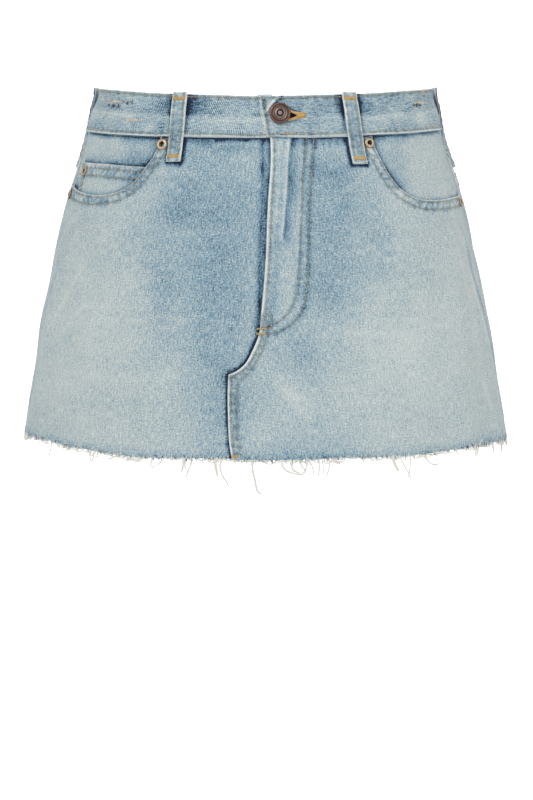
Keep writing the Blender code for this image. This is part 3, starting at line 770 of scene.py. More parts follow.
class Cut:
    """A cut piece of cloth, with the forms and the wear that its turned edges and stitching give it.

    outline is a closed line, and holes are more of them. inner and outer are how far the faces lie from
    the figure, and depth adds what varies. folds are (line, width, wear, roping) along turned edges, rows
    are lines of topstitching, inks are (line, reach, amount) of unfaded dye and of painted shade and shadow,
    washes are the same for a softer change of dye, some of them painted highlights and shade along folds,
    and table is its own list of fades. grid is the size of its triangles.
    """

    depth = None
    folds = rows = inks = washes = holes = ()
    grid = PANEL_GRID
    table = FADES
    dye = 0.0

    def __init__(self, outline, inner=0.0, outer=DENIM, **more):
        self.outline = outline
        self.inner = inner
        self.outer = outer
        self.middle = outline[:, 0].mean()
        self.level = outline[:, 1].mean()
        self.__dict__.update(more)

    def base(self, around, level):
        """What moves both faces."""
        return relief(around, level) + (self.depth(around, level) if self.depth else 0.0)

    def top(self, around, level):
        """How far the outer face lies from the figure."""
        spots = figure(around, level)
        out = self.outer + self.base(around, level)
        for line, width, *_ in self.folds:
            away, _ = nearest(spots, line, width + FOLD_RAMP)
            out += FOLD_HEIGHT * (1 - smooth(width - FOLD_RAMP, width + FOLD_RAMP, away))
        for number, line in enumerate(self.rows):
            away, along = nearest(spots, line, 3 * PUCKER_REACH)
            size = PUCKER_HEIGHT * (1 + 0.7 * wobble(along / 31, number + 40))
            out += size * ripple(along, number) * bell(away, PUCKER_REACH)
            out -= GROOVE_DEPTH * bell(away, GROOVE_WIDTH)
        return out

    def paint(self, around, level):
        """Dye, wear, the dark of seams together with painted shade and shadows, and the brown of thread for
        each point.
        """
        spots = figure(around, level)
        above = level - hem(around)
        dye = PLAIN_DYE + self.dye + fades(around, level, self.table)
        for reach, amount, *line in STREAKS if self.table is FADES else ():
            line = np.reshape(line, (-1, 2))
            dye += brushed(spots, curve(line), reach, amount, 0.5, 11, len(line))
        dye += HEM_DYE * (1 - smooth(*HEM_DYE_REACH, above))
        wear, dark, brown = np.zeros((3, len(around)))
        flecks = np.clip(wobble(around * 1.9 + level * 0.8, 11) - 0.1, 0, 1)
        dark += FLECKS * flecks * (1 - smooth(*FLECKS_REACH, above))
        for number, (line, width, amount, roping) in enumerate(self.folds):
            away, along = nearest(spots, line, width + 2)
            edge = bell(away, WEAR_REACH) * (0.85 + 0.35 * wobble(along / 5, number + 70))
            rope = np.sin((along / ROPE_PITCH + away / 7) * math.tau + 4.0 * wobble(along / 7, number))
            rope = rope * 0.6 + wobble(along / 2.6 + away / 3.1, number + 60) * 0.6
            within = smooth(0, 1.5, away) * (1 - smooth(width - 1, width + 1.5, away))
            wear = np.maximum(wear, amount * edge) + roping * within * np.clip(0.15 + rope * 0.8, 0, 1)
            dark += 0.8 * roping * within * np.clip(-rope, 0, 1)
        for number, line in enumerate(self.rows):
            away, along = nearest(spots, line, 6)
            crest = ripple(along, number)
            # Painted shade in the row's holes and beside it.
            dark += ROW_PAINTED_SHADE * bell(away, 1.2) * (1 + 0.9 * wobble(along / 2.4, number + 30))
            brown += ROW_BROWN * bell(away, 0.75) * (1 + 0.6 * wobble(along / 9, number))
            wear += CREST_WEAR * np.clip(crest, 0, 1) * bell(away, 3)
            # Painted shade in the troughs of the puckers.
            dark += TROUGH_PAINTED_SHADE * np.clip(-crest, 0, 1) * bell(away, 2.6)
        # Lines of unfaded dye and of painted shade and shadow.
        for ink in self.inks:
            dark += brushed(spots, *ink, 0.35, 12, len(ink[0]))
        # Softer changes of dye, some of them painted highlights and painted shade along folds.
        for number, wash in enumerate(self.washes):
            dye += brushed(spots, *wash, 0.4, 9, number + 20)
        return np.clip(np.stack([dye, wear, dark, brown], axis=1), (-1, 0, 0, 0), 1)

    def area(self):
        """The cut's own area, in square metres."""
        x, y = self.flat(self.outline).T
        return abs(np.sum(x * np.roll(y, -1) - y * np.roll(x, -1))) / 2 * MM**2

    def flat(self, line):
        """A line in near-true millimetres, for drawing triangles of a good shape."""
        around, level = line.T
        return np.stack([arc(around, np.full(len(line), self.level), self.middle), level], axis=1)

    def guides(self, loops):
        """Flat points that follow the cut's edges, its rows and its narrow dark lines."""
        near = []
        for loop in loops:
            run = unit(np.roll(loop, -1, axis=0) - np.roll(loop, 1, axis=0))
            side = run @ np.array([(0, 1), (-1, 0)])
            near += [loop + side * way for row in EDGE_ROWS for way in (row, -row)]
        lines = [(line, GROOVE_WIDTH) for line in self.rows]
        lines += [(line, 0.7 * reach) for line, reach, _ in (*self.inks, *self.washes) if reach < PANEL_GRID]
        for line, reach in lines:
            near += [self.flat(beside(line, way) if way else line) for way in (-reach, 0, reach)]
        spots = np.concatenate(near)
        spots = spots[inside(spots, loops)]
        return thinned(spots[flat_gap(spots, loops) > 0.9 * EDGE_ROWS[0]], GUIDE_GAP)

    def fill(self):
        """Around and level of points that fill the outline, and the triangles between them."""
        loops = [self.flat(loop) for loop in (self.outline, *self.holes)]
        fixed = np.concatenate(loops)
        edges = []
        for loop in loops:
            first = len(edges)
            edges += [(first + i, first + (i + 1) % len(loop)) for i in range(len(loop))]
        spots = self.guides(loops)
        (left, low), (right, high) = fixed.min(0), fixed.max(0)
        rows = np.arange(low, high, self.grid * math.sqrt(3) / 2)
        x, y = np.meshgrid(np.arange(left, right, self.grid), rows)
        x = x + np.where(np.arange(len(rows)) % 2, self.grid / 2, 0)[:, None]
        grid = np.stack([x.ravel(), y.ravel()], axis=1)
        grid = grid[inside(grid, loops)]
        grid = grid[flat_gap(grid, loops) > EDGE_ROWS[-1] + 0.4 * self.grid]
        grid = grid[point_gap(grid, spots) > 0.55 * self.grid]
        points = [Vector(p) for p in np.concatenate([fixed, spots, grid]).tolist()]
        found, _, triangles, *_ = delaunay_2d_cdt(points, edges, [], TRIANGLES_INSIDE, SAME_POINT)
        found = np.array([tuple(p) for p in found])
        triangles = np.array(triangles)
        if self.holes:
            triangles = triangles[~inside(found[triangles].mean(1), loops[1:])]
        steps = np.linspace(self.outline[:, 0].min() - 1, self.outline[:, 0].max() + 1, 800)
        reach = arc(steps, np.full(len(steps), self.level), self.middle)
        return np.interp(found[:, 0], reach, steps), found[:, 1], triangles


def inside(spots, loops):
    """Whether flat spots are inside the first loop and outside the others."""
    crossings = np.zeros(len(spots), int)
    for loop in loops:
        ends = np.roll(loop, -1, axis=0)
        for part in chunks(spots):
            x, y = spots[part, :1], spots[part, 1:]
            spans = (loop[:, 1] > y) != (ends[:, 1] > y)
            rise = np.where(ends[:, 1] == loop[:, 1], 1, ends[:, 1] - loop[:, 1])
            at = loop[:, 0] + (y - loop[:, 1]) / rise * (ends[:, 0] - loop[:, 0])
            crossings[part] += (spans & (x < at)).sum(1)
    return crossings % 2 == 1


def flat_gap(spots, loops):
    """How far flat spots are from the loops' edges."""
    away = np.full(len(spots), np.inf)
    for loop in loops:
        runs = np.roll(loop, -1, axis=0) - loop
        for part in chunks(spots):
            away[part] = np.minimum(away[part], to_runs(spots[part], loop, runs, (runs**2).sum(-1))[0])
    return away


def thinned(spots, gap):
    """Spots without those that share a small square with an earlier one."""
    _, kept = np.unique(np.round(spots / gap).astype(int), axis=0, return_index=True)
    return spots[np.sort(kept)]


def point_gap(spots, others):
    """How far flat spots are from the nearest of others, up to FAR."""
    away = np.full(len(spots), FAR)
    for part in chunks(spots):
        low, high = spots[part].min(0) - FAR, spots[part].max(0) + FAR
        close = others[np.all((others > low) & (others < high), axis=1)]
        if len(close):
            away[part] = np.linalg.norm(spots[part, None] - close, axis=-1).min(1)
    return away


# Meshes


def linked(name, data):
    """A new object in the scene."""
    item = bpy.data.objects.new(name, data)
    bpy.context.scene.collection.objects.link(item)
    return item


def mesh_of(name, points, faces):
    mesh = bpy.data.meshes.new(name)
    mesh.from_pydata(points, [], faces)
    return mesh


def add_piece(name, mesh, looks, nodes):
    """Links a piece, gives it its looks and its body, and hides the solids that it stands for."""
    piece = linked(name, mesh)
    for look in looks:
        mesh.materials.append(look)
    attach(piece, "root")
    if nodes:
        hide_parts(*nodes)
    return piece


def sew(name, cut, looks, node):
    """A cut piece as a thin shell with rounded edges. looks are its face's and its back's."""
    around, level, triangles = cut.fill()
    spots = figure(around, level)
    away = np.full(len(spots), EDGE_ROUND)
    for loop in (cut.outline, *cut.holes):
        away = np.minimum(away, nearest(spots, closed(loop), EDGE_ROUND)[0])
    full = np.sqrt(1 - (1 - away / EDGE_ROUND) ** 2)
    top = cut.top(around, level)
    bottom = cut.inner + cut.base(around, level)
    middle, half = (top + bottom) / 2, (top - bottom) / 2 * full
    sides = np.sort(np.concatenate([triangles[:, pair] for pair in ([0, 1], [1, 2], [2, 0])]), axis=1)
    pairs, uses = np.unique(sides, axis=0, return_counts=True)
    within = np.ones(len(spots), bool)
    within[pairs[uses == 1].ravel()] = False
    lower = np.arange(len(spots))
    lower[within] = len(spots) + np.arange(within.sum())
    half[~within] = 0
    reverse = place(around, level, middle - half)[within]
    points = np.concatenate([place(around, level, middle + half), reverse])
    mesh = mesh_of(name, points.tolist(), np.concatenate([triangles, lower[triangles][:, ::-1]]).tolist())
    mesh.polygons.foreach_set("material_index", np.repeat([0, 1], len(triangles)))
    cuts = np.stack([arc(around, level, cut.middle), level], axis=1) * MM
    tints = cut.paint(around, level)
    add_attributes(mesh, *(np.concatenate([rows, rows[within]]) for rows in (cuts, tints)))
    piece = add_piece(name, mesh, looks, [node])
    x, y = cut.flat(cut.outline).T
    cut.area()


def add_attributes(mesh, cuts, tints):
    """Smooths a mesh, and adds the cloth's own coordinates in metres as a map and its tints as colours."""
    mesh.shade_smooth()
    corners = np.empty(len(mesh.loops), int)
    mesh.loops.foreach_get("vertex_index", corners)
    mesh.uv_layers.new(name="cut").uv.foreach_set("vector", cuts[corners].astype(np.float32).ravel())
    paint = mesh.attributes.new("paint", "FLOAT_COLOR", "POINT")
    paint.data.foreach_set("color", tints.astype(np.float32).ravel())


def tubes(name, bundles, looks, sides=THREAD_SIDES, nodes=()):
    """Bundles of threads as one mesh. A bundle is threads by points by 3 in metres, with a radius for each
    point, the way up and the tints of each thread."""
    points, faces, cuts, colours = [], [], [], []
    first = 0
    turn = np.arange(sides)[:, None] / sides * math.tau
    for paths, radii, up, tints in bundles:
        count, steps, _ = paths.shape
        run = unit(np.gradient(paths, axis=1))
        across = unit(np.cross(run, up[:, None] + 1e-3))
        over = np.cross(across, run)
        ring = across[:, :, None] * np.cos(turn) + over[:, :, None] * np.sin(turn)
        points.append((paths[:, :, None] + ring * radii[:, :, None, None]).reshape(-1, 3))
        index = first + np.arange(count * steps * sides).reshape(count, steps, sides)
        first += index.size
        ahead = np.roll(index, -1, axis=2)
        walls = np.stack([index[:, :-1], ahead[:, :-1], ahead[:, 1:], index[:, 1:]], axis=-1).reshape(-1, 4)
        faces += walls.tolist() + index[:, 0, ::-1].tolist() + index[:, -1].tolist()
        lengths = np.linalg.norm(np.diff(paths, axis=1), axis=2)
        along = np.concatenate([np.zeros((count, 1)), np.cumsum(lengths, axis=1)], axis=1)
        number = np.broadcast_to(np.arange(count)[:, None] * 0.01, along.shape)
        cuts.append(np.repeat(np.stack([along, number], axis=-1).reshape(-1, 2), sides, axis=0))
        colours.append(np.repeat(tints, steps * sides, axis=0))
    mesh = mesh_of(name, np.concatenate(points).tolist(), faces)
    add_attributes(mesh, np.concatenate(cuts), np.concatenate(colours))
    return add_piece(name, mesh, looks, nodes)


def stitch_ends(line, stitch=STITCH, gap=STITCH_GAP):
    """The two ends of each stitch along a line."""
    pitch = stitch + gap
    starts = spaced(line, pitch)
    ends = spaced(line, pitch / STITCH_SHARES)
    picks = np.arange(len(starts)) * STITCH_SHARES + round(stitch / pitch * STITCH_SHARES)
    keep = picks < len(ends)
    return starts[keep], ends[picks[keep]]


def tack_ends(start, end, width, pitch=0.75):
    """The two ends of each thread of a bar tack that runs from start to end."""
    line = straight([start, end])
    left, right = spaced(beside(line, width / 2), pitch), spaced(beside(line, -width / 2), pitch)
    count = min(len(left), len(right))
    return left[:count], right[:count]


def thread(name, cut_rows, looks, radius=THREAD_RADIUS, rise=STITCH_RISE, seed=1, mottle=0.2):
    """Threads over cloth as one mesh. cut_rows are (cut, starts, ends), with ends in garment coordinates."""
    paths, ups, tints = [], [], []
    draw = np.random.default_rng(seed)
    steps = np.linspace(0, 1, len(THREAD_TAPER))
    arch = np.sin(np.pi * steps) ** 0.6
    for cut, starts, ends in cut_rows:
        count = len(starts)
        spots = starts[:, None] + (ends - starts)[:, None] * steps[:, None]
        flat = spots.reshape(-1, 2).T
        out = cut.top(*flat).reshape(spots.shape[:2]) + rise * (2 * arch - 1) + THREAD_LIFT
        paths.append(place(*flat, out.ravel()).reshape(*out.shape, 3))
        ups.append(outward(*starts.T))
        fade = 0.5 + 0.3 * wobble(np.arange(count) / 9, seed) + draw.normal(0, mottle, count)
        tints.append(np.clip(fade, 0, 1)[:, None] * (1, 0, 0, 0))
    paths = np.concatenate(paths)
    radii = radius * MM * np.array(THREAD_TAPER) * draw.uniform(0.85, 1.15, (len(paths), 1))
    return tubes(name, [(paths, radii, np.concatenate(ups), np.concatenate(tints))], looks)


def fringe(name, cut, start, end, fuzz, looks, part, seed):
    """A raw edge's fringe: cut ends along it, loose yarn that lies across, and long threads."""
    draw = np.random.default_rng(50 + seed)
    length = abs(end - start) * pace((start + end) / 2, HEM_LEVEL)[0]

    def hang(around, aside, drop, out, thick, tint):
        """Threads from places around, each by its steps aside, below the hem, and out."""
        foot = np.full(len(around), HEM_LEVEL)
        spots = around[:, None] + aside / pace(around, foot)[:, None]
        flat = spots.ravel(), (hem(spots) - drop).ravel()
        base = cut.base(*flat).reshape(spots.shape)
        paths = place(*flat, (base + DENIM / 2 + out).ravel()).reshape(*spots.shape, 3)
        taper = np.interp(np.linspace(0, 1, spots.shape[1]), (0, 0.15, 0.8, 1), (0.7, 1, 0.9, 0.5))
        return paths, thick[:, None] * taper * MM, outward(around, foot), tint[:, None] * (1, 0, 0, 0)

    def chance(low, high):
        return draw.uniform(low, high, (count, 1))

    count = round(length * fuzz)
    around = draw.uniform(start, end, count)
    share = np.linspace(0, 1, 5)
    bow = np.sin(np.pi * share)
    reach = draw.gamma(2.2, 0.5, (count, 1))
    lean = draw.normal(0, 0.45, (count, 1)) * reach
    bend = draw.normal(0, 0.35, (count, 1)) * bow
    drop = -chance(0.2, 2.4) + share * (reach + 1.0)
    out = 0.35 + 0.35 * bow * chance(0, 1) - share * 0.4
    tint = draw.choice((0.05, 0.3, 0.75, 1.0), count, p=(0.1, 0.36, 0.26, 0.28))
    bundles = [hang(around, lean * share + bend, drop, out, draw.uniform(0.16, 0.32, count), tint)]

    count = round(length / LOOSE_YARN_GAP)
    around = draw.uniform(start, end, count)
    share = np.linspace(0, 1, 10)
    bow = np.sin(np.pi * share)
    reach = chance(4, 15) * draw.choice((-1, 1), (count, 1))
    sag = chance(0.3, 4.6)
    curl = chance(0, 1.4) * np.sin(share * chance(3, 11) + chance(0, 6))
    drop = -0.4 + sag * bow**0.8 + 0.5 * curl
    out = 0.3 * draw.normal(0, 1, (count, 1)) * bow
    tint = draw.uniform(0, 0.12, count)
    bundles.append(hang(around, reach * share + curl, drop, out, draw.uniform(0.18, 0.4, count), tint))

    share = np.linspace(0, 1, 16)
    for around, thick, *steps in LONG_THREADS:
        if start <= around < end:
            steps = np.reshape((0.0, *steps), (-1, 2))
            aside, drop = hermite(np.linspace(0, 1, len(steps)), steps, share).T
            out = 0.5 * np.sin(share * 4 + around) * share
            sizes = np.array([thick * LONG_THREAD_SIZE]), np.zeros(1)
            bundles.append(hang(np.array([float(around)]), aside[None], drop[None], out[None], *sizes))
    return tubes(name, bundles, looks, 4, [f"hem_fray_{part}"])


def turned(name, profile, look, slot, around, level, seat, sides=56):
    """A turned piece on the figure's normal, its tints worn on what stands high."""
    profile = np.array(profile, float)
    turn = np.arange(sides) / sides * math.tau
    up = outward(around, level)[0]
    across = unit(np.cross((0, 0, 1), up))
    over = np.cross(up, across)
    centre = figure(around, level)[0] + up * seat
    ring = across * np.cos(turn)[:, None] + over * np.sin(turn)[:, None]
    points = centre + profile[:, :1, None] * ring + profile[:, 1:, None] * up
    index = np.arange(len(profile) * sides).reshape(-1, sides)
    ahead = np.roll(index, -1, axis=1)
    faces = np.stack([index[1:], ahead[1:], ahead[:-1], index[:-1]], axis=-1).reshape(-1, 4).tolist()
    mesh = mesh_of(name, (points.reshape(-1, 3) * MM).tolist(), faces)
    out, high = profile.T
    high = (high - high.min()) / np.ptp(high)
    worn = np.repeat(np.stack([high, out / out.max(), high, high], axis=1), sides, axis=0)
    cuts = np.stack([np.tile(turn, len(profile)), np.repeat(lengths_along(profile), sides)], axis=1) * MM
    add_attributes(mesh, cuts, worn)
    mesh.validate()
    return add_piece(name, mesh, [look], [name.replace("_metal", "")])


# Materials


class Tone:
    """A socket that Python's operators turn into Math nodes."""

    def __init__(self, look, socket):
        self.look = look
        self.socket = socket

    def math(self, operation, *values):
        return self.look.node("ShaderNodeMath", {"operation": operation}, dict(enumerate(values)))

    def __add__(self, other):
        return self.math("ADD", self, other)

    def __sub__(self, other):
        return self.math("SUBTRACT", self, other)

    def __rsub__(self, other):
        return self.math("SUBTRACT", other, self)

    def __mul__(self, other):
        return self.math("MULTIPLY", self, other)

    __radd__ = __add__

    def sine(self):
        return self.math("SINE", self)

    def clamped(self):
        return self.look.node("ShaderNodeClamp", {}, {"Value": self, "Min": 0.0, "Max": 1.0})


class Look:
    """A material whose nodes are made by expressions."""

    def __init__(self, name):
        self.material = bpy.data.materials.new(name)
        self.material.use_nodes = True
        self.tree = self.material.node_tree
        self.shader = self.tree.nodes["Principled BSDF"]

    def node(self, kind, settings, sockets, output=0):
        """A node of a kind, its settings made first and then its sockets' values or links."""
        node = self.tree.nodes.new(kind)
        for name, value in settings.items():
            setattr(node, name, value)
        for name, value in sockets.items():
            self.feed(node.inputs[name], value)
        return Tone(self, node.outputs[output])

    def feed(self, socket, value):
        if isinstance(value, Tone):
            self.tree.links.new(value.socket, socket)
        else:
            socket.default_value = value

    def cut(self, x=1.0, y=1.0):
        """The cloth's own coordinates in millimetres, each divided by a size."""
        at = self.node("ShaderNodeUVMap", {"uv_map": "cut"}, {})
        scale = (1 / MM / x, 1 / MM / y, 0)
        return self.node("ShaderNodeVectorMath", {"operation": "MULTIPLY"}, {0: at, 1: scale})

    def paint(self):
        """The four tints that are painted on a piece's points."""
        tint = self.node("ShaderNodeAttribute", {"attribute_name": "paint"}, {})
        tints = [self.node("ShaderNodeSeparateColor", {}, {0: tint}, i) for i in range(3)]
        return [*tints, self.node("ShaderNodeAttribute", {"attribute_name": "paint"}, {}, 3)]

    def noise(self, x, y, detail=2.0, shift=0.0):
        """Noise from -0.5 to 0.5, whose grain is x by y millimetres."""
        spots = {0: self.cut(x, y), 1: (shift, shift, shift)}
        at = self.node("ShaderNodeVectorMath", {"operation": "ADD"}, spots)
        return self.node("ShaderNodeTexNoise", {}, {"Vector": at, "Scale": 1.0, "Detail": detail}) - 0.5

    def mix(self, share, first, second):
        """A mixture of two colours, each of them plain or from a node."""
        first, second = (value if isinstance(value, Tone) else (*value, 1) for value in (first, second))
        return self.node("ShaderNodeMix", {"data_type": "RGBA"}, {0: share, 6: first, 7: second}, 2)

    def ramp(self, stops, share):
        """A colour ramp by its stops, read at a share."""
        share = share.clamped()
        colour = self.node("ShaderNodeValToRGB", {}, {0: share})
        ramp = colour.socket.node.color_ramp.elements
        while len(ramp) < len(stops):
            ramp.new(0.5)
        for element, (position, shade) in zip(ramp, stops):
            element.position = position
            element.color = (*shade, 1)
        return colour

    def finish(self, colour, roughness, height=None, reach=1.0, **values):
        """Feeds the shader: a colour, a roughness, a bump height in millimetres, and plain values."""
        self.feed(self.shader.inputs["Base Color"], colour)
        self.feed(self.shader.inputs["Roughness"], roughness)
        if height is not None:
            bump = {"Height": height, "Distance": reach * MM, "Strength": 1.0}
            self.feed(self.shader.inputs["Normal"], self.node("ShaderNodeBump", {}, bump))
        for name, value in values.items():
            self.shader.inputs[name.replace("_", " ").title().replace("Ior", "IOR")].default_value = value
        return self.material


def weave(look, settings, lengthwise=False):
    """The twill's ribs, its uneven yarns and its grain, each about 0. The warp runs down or lengthwise."""
    bend = look.noise(14, 14, 1.0, 9.0)
    across = look.node("ShaderNodeSeparateXYZ", {}, {0: look.cut(settings.rib, 1)})
    rise = look.node("ShaderNodeSeparateXYZ", {}, {0: look.cut(1, settings.rib * 1.05)}, 1)
    ribs = ((across + rise + bend * 0.8) * math.tau).sine() * 0.5
    warp, weft = look.noise(1.1, 5.5, 0.0, 3.0), look.noise(5.5, 1.1, 0.0, 5.0)
    if lengthwise:
        warp, weft = weft, warp
    grain = look.noise(1.15, 1.2, 0.0, 1.0)
    return ribs, warp, weft, grain


def denim(name, settings, shift=0.0, crumpled=0.0):
    """Washed twill: its dye varies with the painted fading, the yarns and wear, and more where crumpled."""
    look = Look(name)
    dye, wear, dark, brown = look.paint()
    ribs, warp, weft, grain = weave(look, settings, crumpled > 0)
    cloud = look.noise(26, 34, 3.0, 2.0)
    blotch = look.noise(8, 7, 2.0, 6.0)
    streak = look.noise(3.2, 60, 2.0, 7.0)
    clear = look.noise(16, 11, 1.0, 8.0) * 2.2 + 0.1 + crumpled * 0.35
    fine = grain * (0.5 + crumpled * 0.02) + warp * 0.32 + weft * 0.08
    fine = fine + ribs * clear.clamped() * (0.13 + crumpled * 0.22)
    dye = dye + shift + cloud * 0.17 + blotch * (0.06 + crumpled * 0.28) + streak * 0.09
    # The dark tint holds unfaded dye and painted shade and shadows; the grain is weaker where it is strong,
    # as in soft shade.
    dye = dye + fine * (dye * 1.42 + 0.3) * settings.contrast * (1 - (dark * 0.9).clamped() * 0.6)
    broken = (wear * (1.0 + grain * 1.0 + warp * 0.8)).clamped()
    dye = dye - broken * 0.6 * settings.wear + dark * (0.8 + grain * 0.3)
    shades = settings.cotton, settings.faded, settings.mid, settings.deep, settings.indigo
    colour = look.ramp(list(zip((0.0, 0.3, 0.58, 0.88, 1.0), shades)), dye)
    colour = look.mix((brown * (0.75 + grain * 0.6)).clamped(), colour, settings.soiled)
    height = ribs * 0.08 + warp * 0.1 + grain * 0.16 + weft * 0.05
    return look.finish(colour, 0.88 - broken * 0.05, height, specular_ior_level=0.25, sheen_weight=0.1)


def denim_reverse(name, settings):
    """The back of the cloth, where the undyed yarn covers most of the dyed."""
    look = Look(name)
    ribs, warp, weft, grain = weave(look, settings)
    share = (0.5 + ribs * 0.5 + warp * 0.8 + weft * 0.5 + grain * 0.4).clamped()
    colour = look.mix(share, settings.cotton, linear(REVERSE_BLUE))
    height = ribs * 0.06 + warp * 0.08 + grain * 0.12
    return look.finish(colour, 0.9, height, specular_ior_level=0.2, sheen_weight=0.1)


def cotton(name, colour, faded):
    """Thread: two shades of one colour, twisted."""
    look = Look(name)
    fade, *_ = look.paint()
    ply = look.noise(0.5, 0.5, 2.0)
    tone = look.mix((fade + ply * 0.8).clamped(), colour, faded)
    return look.finish(tone, 0.8, ply, 0.15, specular_ior_level=0.3, sheen_weight=0.15)


def yarn(name, cream, settings):
    """Loose yarn: cream or dyed, by its tint."""
    look = Look(name)
    tint, *_ = look.paint()
    ply = look.noise(0.4, 0.4, 2.0)
    shades = cream, settings.cotton, settings.faded, settings.mid, settings.indigo
    colour = look.ramp(list(zip((0.0, 0.3, 0.5, 0.75, 1.0), shades)), tint + ply * 0.12)
    return look.finish(colour, 0.85, ply, 0.1, specular_ior_level=0.2, sheen_weight=0.15)


def metal(name, rings, spread):
    """Aged metal, ringed: its colour by the distance from the middle, with grime by chance."""
    look = Look(name)
    _, out, *_ = look.paint()
    grime = look.noise(0.8, 0.5, 3.0)
    scratch = look.noise(0.25, 3.0, 2.0, 4.0)
    rings = look.ramp([(at, linear(colour)) for at, colour in rings], out + grime * spread)
    share = (0.28 - grime * 1.5 - scratch * 0.8).clamped()
    colour = look.mix(share, rings, linear(DARK_METAL))
    return look.finish(colour, 0.42 + share * 0.3, grime * 0.08 + scratch * 0.05, metallic=0.85)


# Settings


def number_setting(name, description, default, **more):
    return bpy.props.FloatProperty(name=name, description=description, default=default, **more)


def colour_setting(name, description, colour):
    more = {"subtype": "COLOR", "size": 3, "min": 0, "max": 1}
    return bpy.props.FloatVectorProperty(name=name, description=description, default=linear(colour), **more)


class SkirtDenim(bpy.types.PropertyGroup):
    """The cloth's weave and dye."""

    rib: number_setting("Rib", "From one twill rib to the next, in mm", 1.8, min=0.5)
    contrast: number_setting("Contrast", "How uneven the yarns are dyed", 1.4, min=0)
    wear: number_setting("Wear", "How white the turned edges are worn", 1.0, min=0)
    cotton: colour_setting("Cotton", "Cloth with all its dye worn off", COTTON_WHITE)
    faded: colour_setting("Faded", "Cloth where it is washed palest", FADED_BLUE)
    mid: colour_setting("Mid blue", "Cloth at the middle of the front", MID_BLUE)
    # The deep blue and indigo are also the colours of painted shade and shadows.
    deep: colour_setting("Deep blue", "Cloth that seams have sheltered", DEEP_BLUE)
    indigo: colour_setting("Indigo", "Cloth in the bottom of seams", INDIGO)
    soiled: colour_setting("Soiled", "Cloth that old thread has stained", SOILED)


class SkirtThread(bpy.types.PropertyGroup):
    """Topstitching, bar tacks and fringe."""

    tan: colour_setting("Topstitching", "Thread of the seams", TAN_THREAD)
    ochre: colour_setting("Bar tacks", "Thread of the bar tacks and the buttonhole", OCHRE_THREAD)
    cream: colour_setting("Fringe", "Loose undyed yarn", CREAM_THREAD)
    fuzz: number_setting("Fuzz", "Short cut ends for each mm of hem", 2.2, min=0)


class SkirtStudio(bpy.types.PropertyGroup):
    """Camera, lights and floor."""

    distance: number_setting("Camera distance", "From the skirt's middle", 1.8, unit="LENGTH", min=0.5)
    eye: number_setting("Camera height", "Above the waist", -0.09, unit="LENGTH")
    aim: number_setting("Aim height", "What it looks at", -0.2716, unit="LENGTH")
    lens: number_setting("Lens", "Focal length in mm", 92.58, min=10)
    floor: number_setting("Floor", "Height of the floor", -1.3, unit="LENGTH")
    key: number_setting("Key", "Power of the front light", 32.0, min=0)
    fill: number_setting("Fill", "Strength of the white room", 0.45, min=0)
    rear: number_setting("Rear", "Power of the backdrop's lights", 120.0, min=0)


# Pieces


def looks_of(scene, name, shift=0.0, crumpled=0.0):
    """A slot's face and the cloth's reverse, made once."""
    found = bpy.data.materials.get
    face = found(name) or denim(name, scene.skirt_denim, shift, crumpled)
    return [face, found("denim reverse") or denim_reverse("denim reverse", scene.skirt_denim)]


def seam_threads(scene):
    """Tan thread for topstitching and ochre thread for tacks, made once."""
    settings, found = scene.skirt_thread, bpy.data.materials.get
    tan = found("tan thread") or cotton("tan thread", settings.tan, linear(WORN_TAN))
    ochre = found("ochre thread") or cotton("ochre thread", settings.ochre, linear(WORN_OCHRE))
    return [tan], [ochre]


def front_outline(hand, lap):
    """A front's outline from its edge at the lap, its pocket's mouth, and its side seam below that."""
    side = (SIDE_SEAM - HALF_SEAM) * (1 if hand == "left" else -1)
    mouth = pocket_mouth(hand)
    mouth[-1, 0] = side
    flank = upright(side, mouth[-1, 1], hem(side))
    top = under_band(lap[0, 0], mouth[0, 0], SEAM_GAP / 2)
    return join(top, mouth, flank, between(side, lap[-1, 0], hem), lap[::-1]), mouth, flank


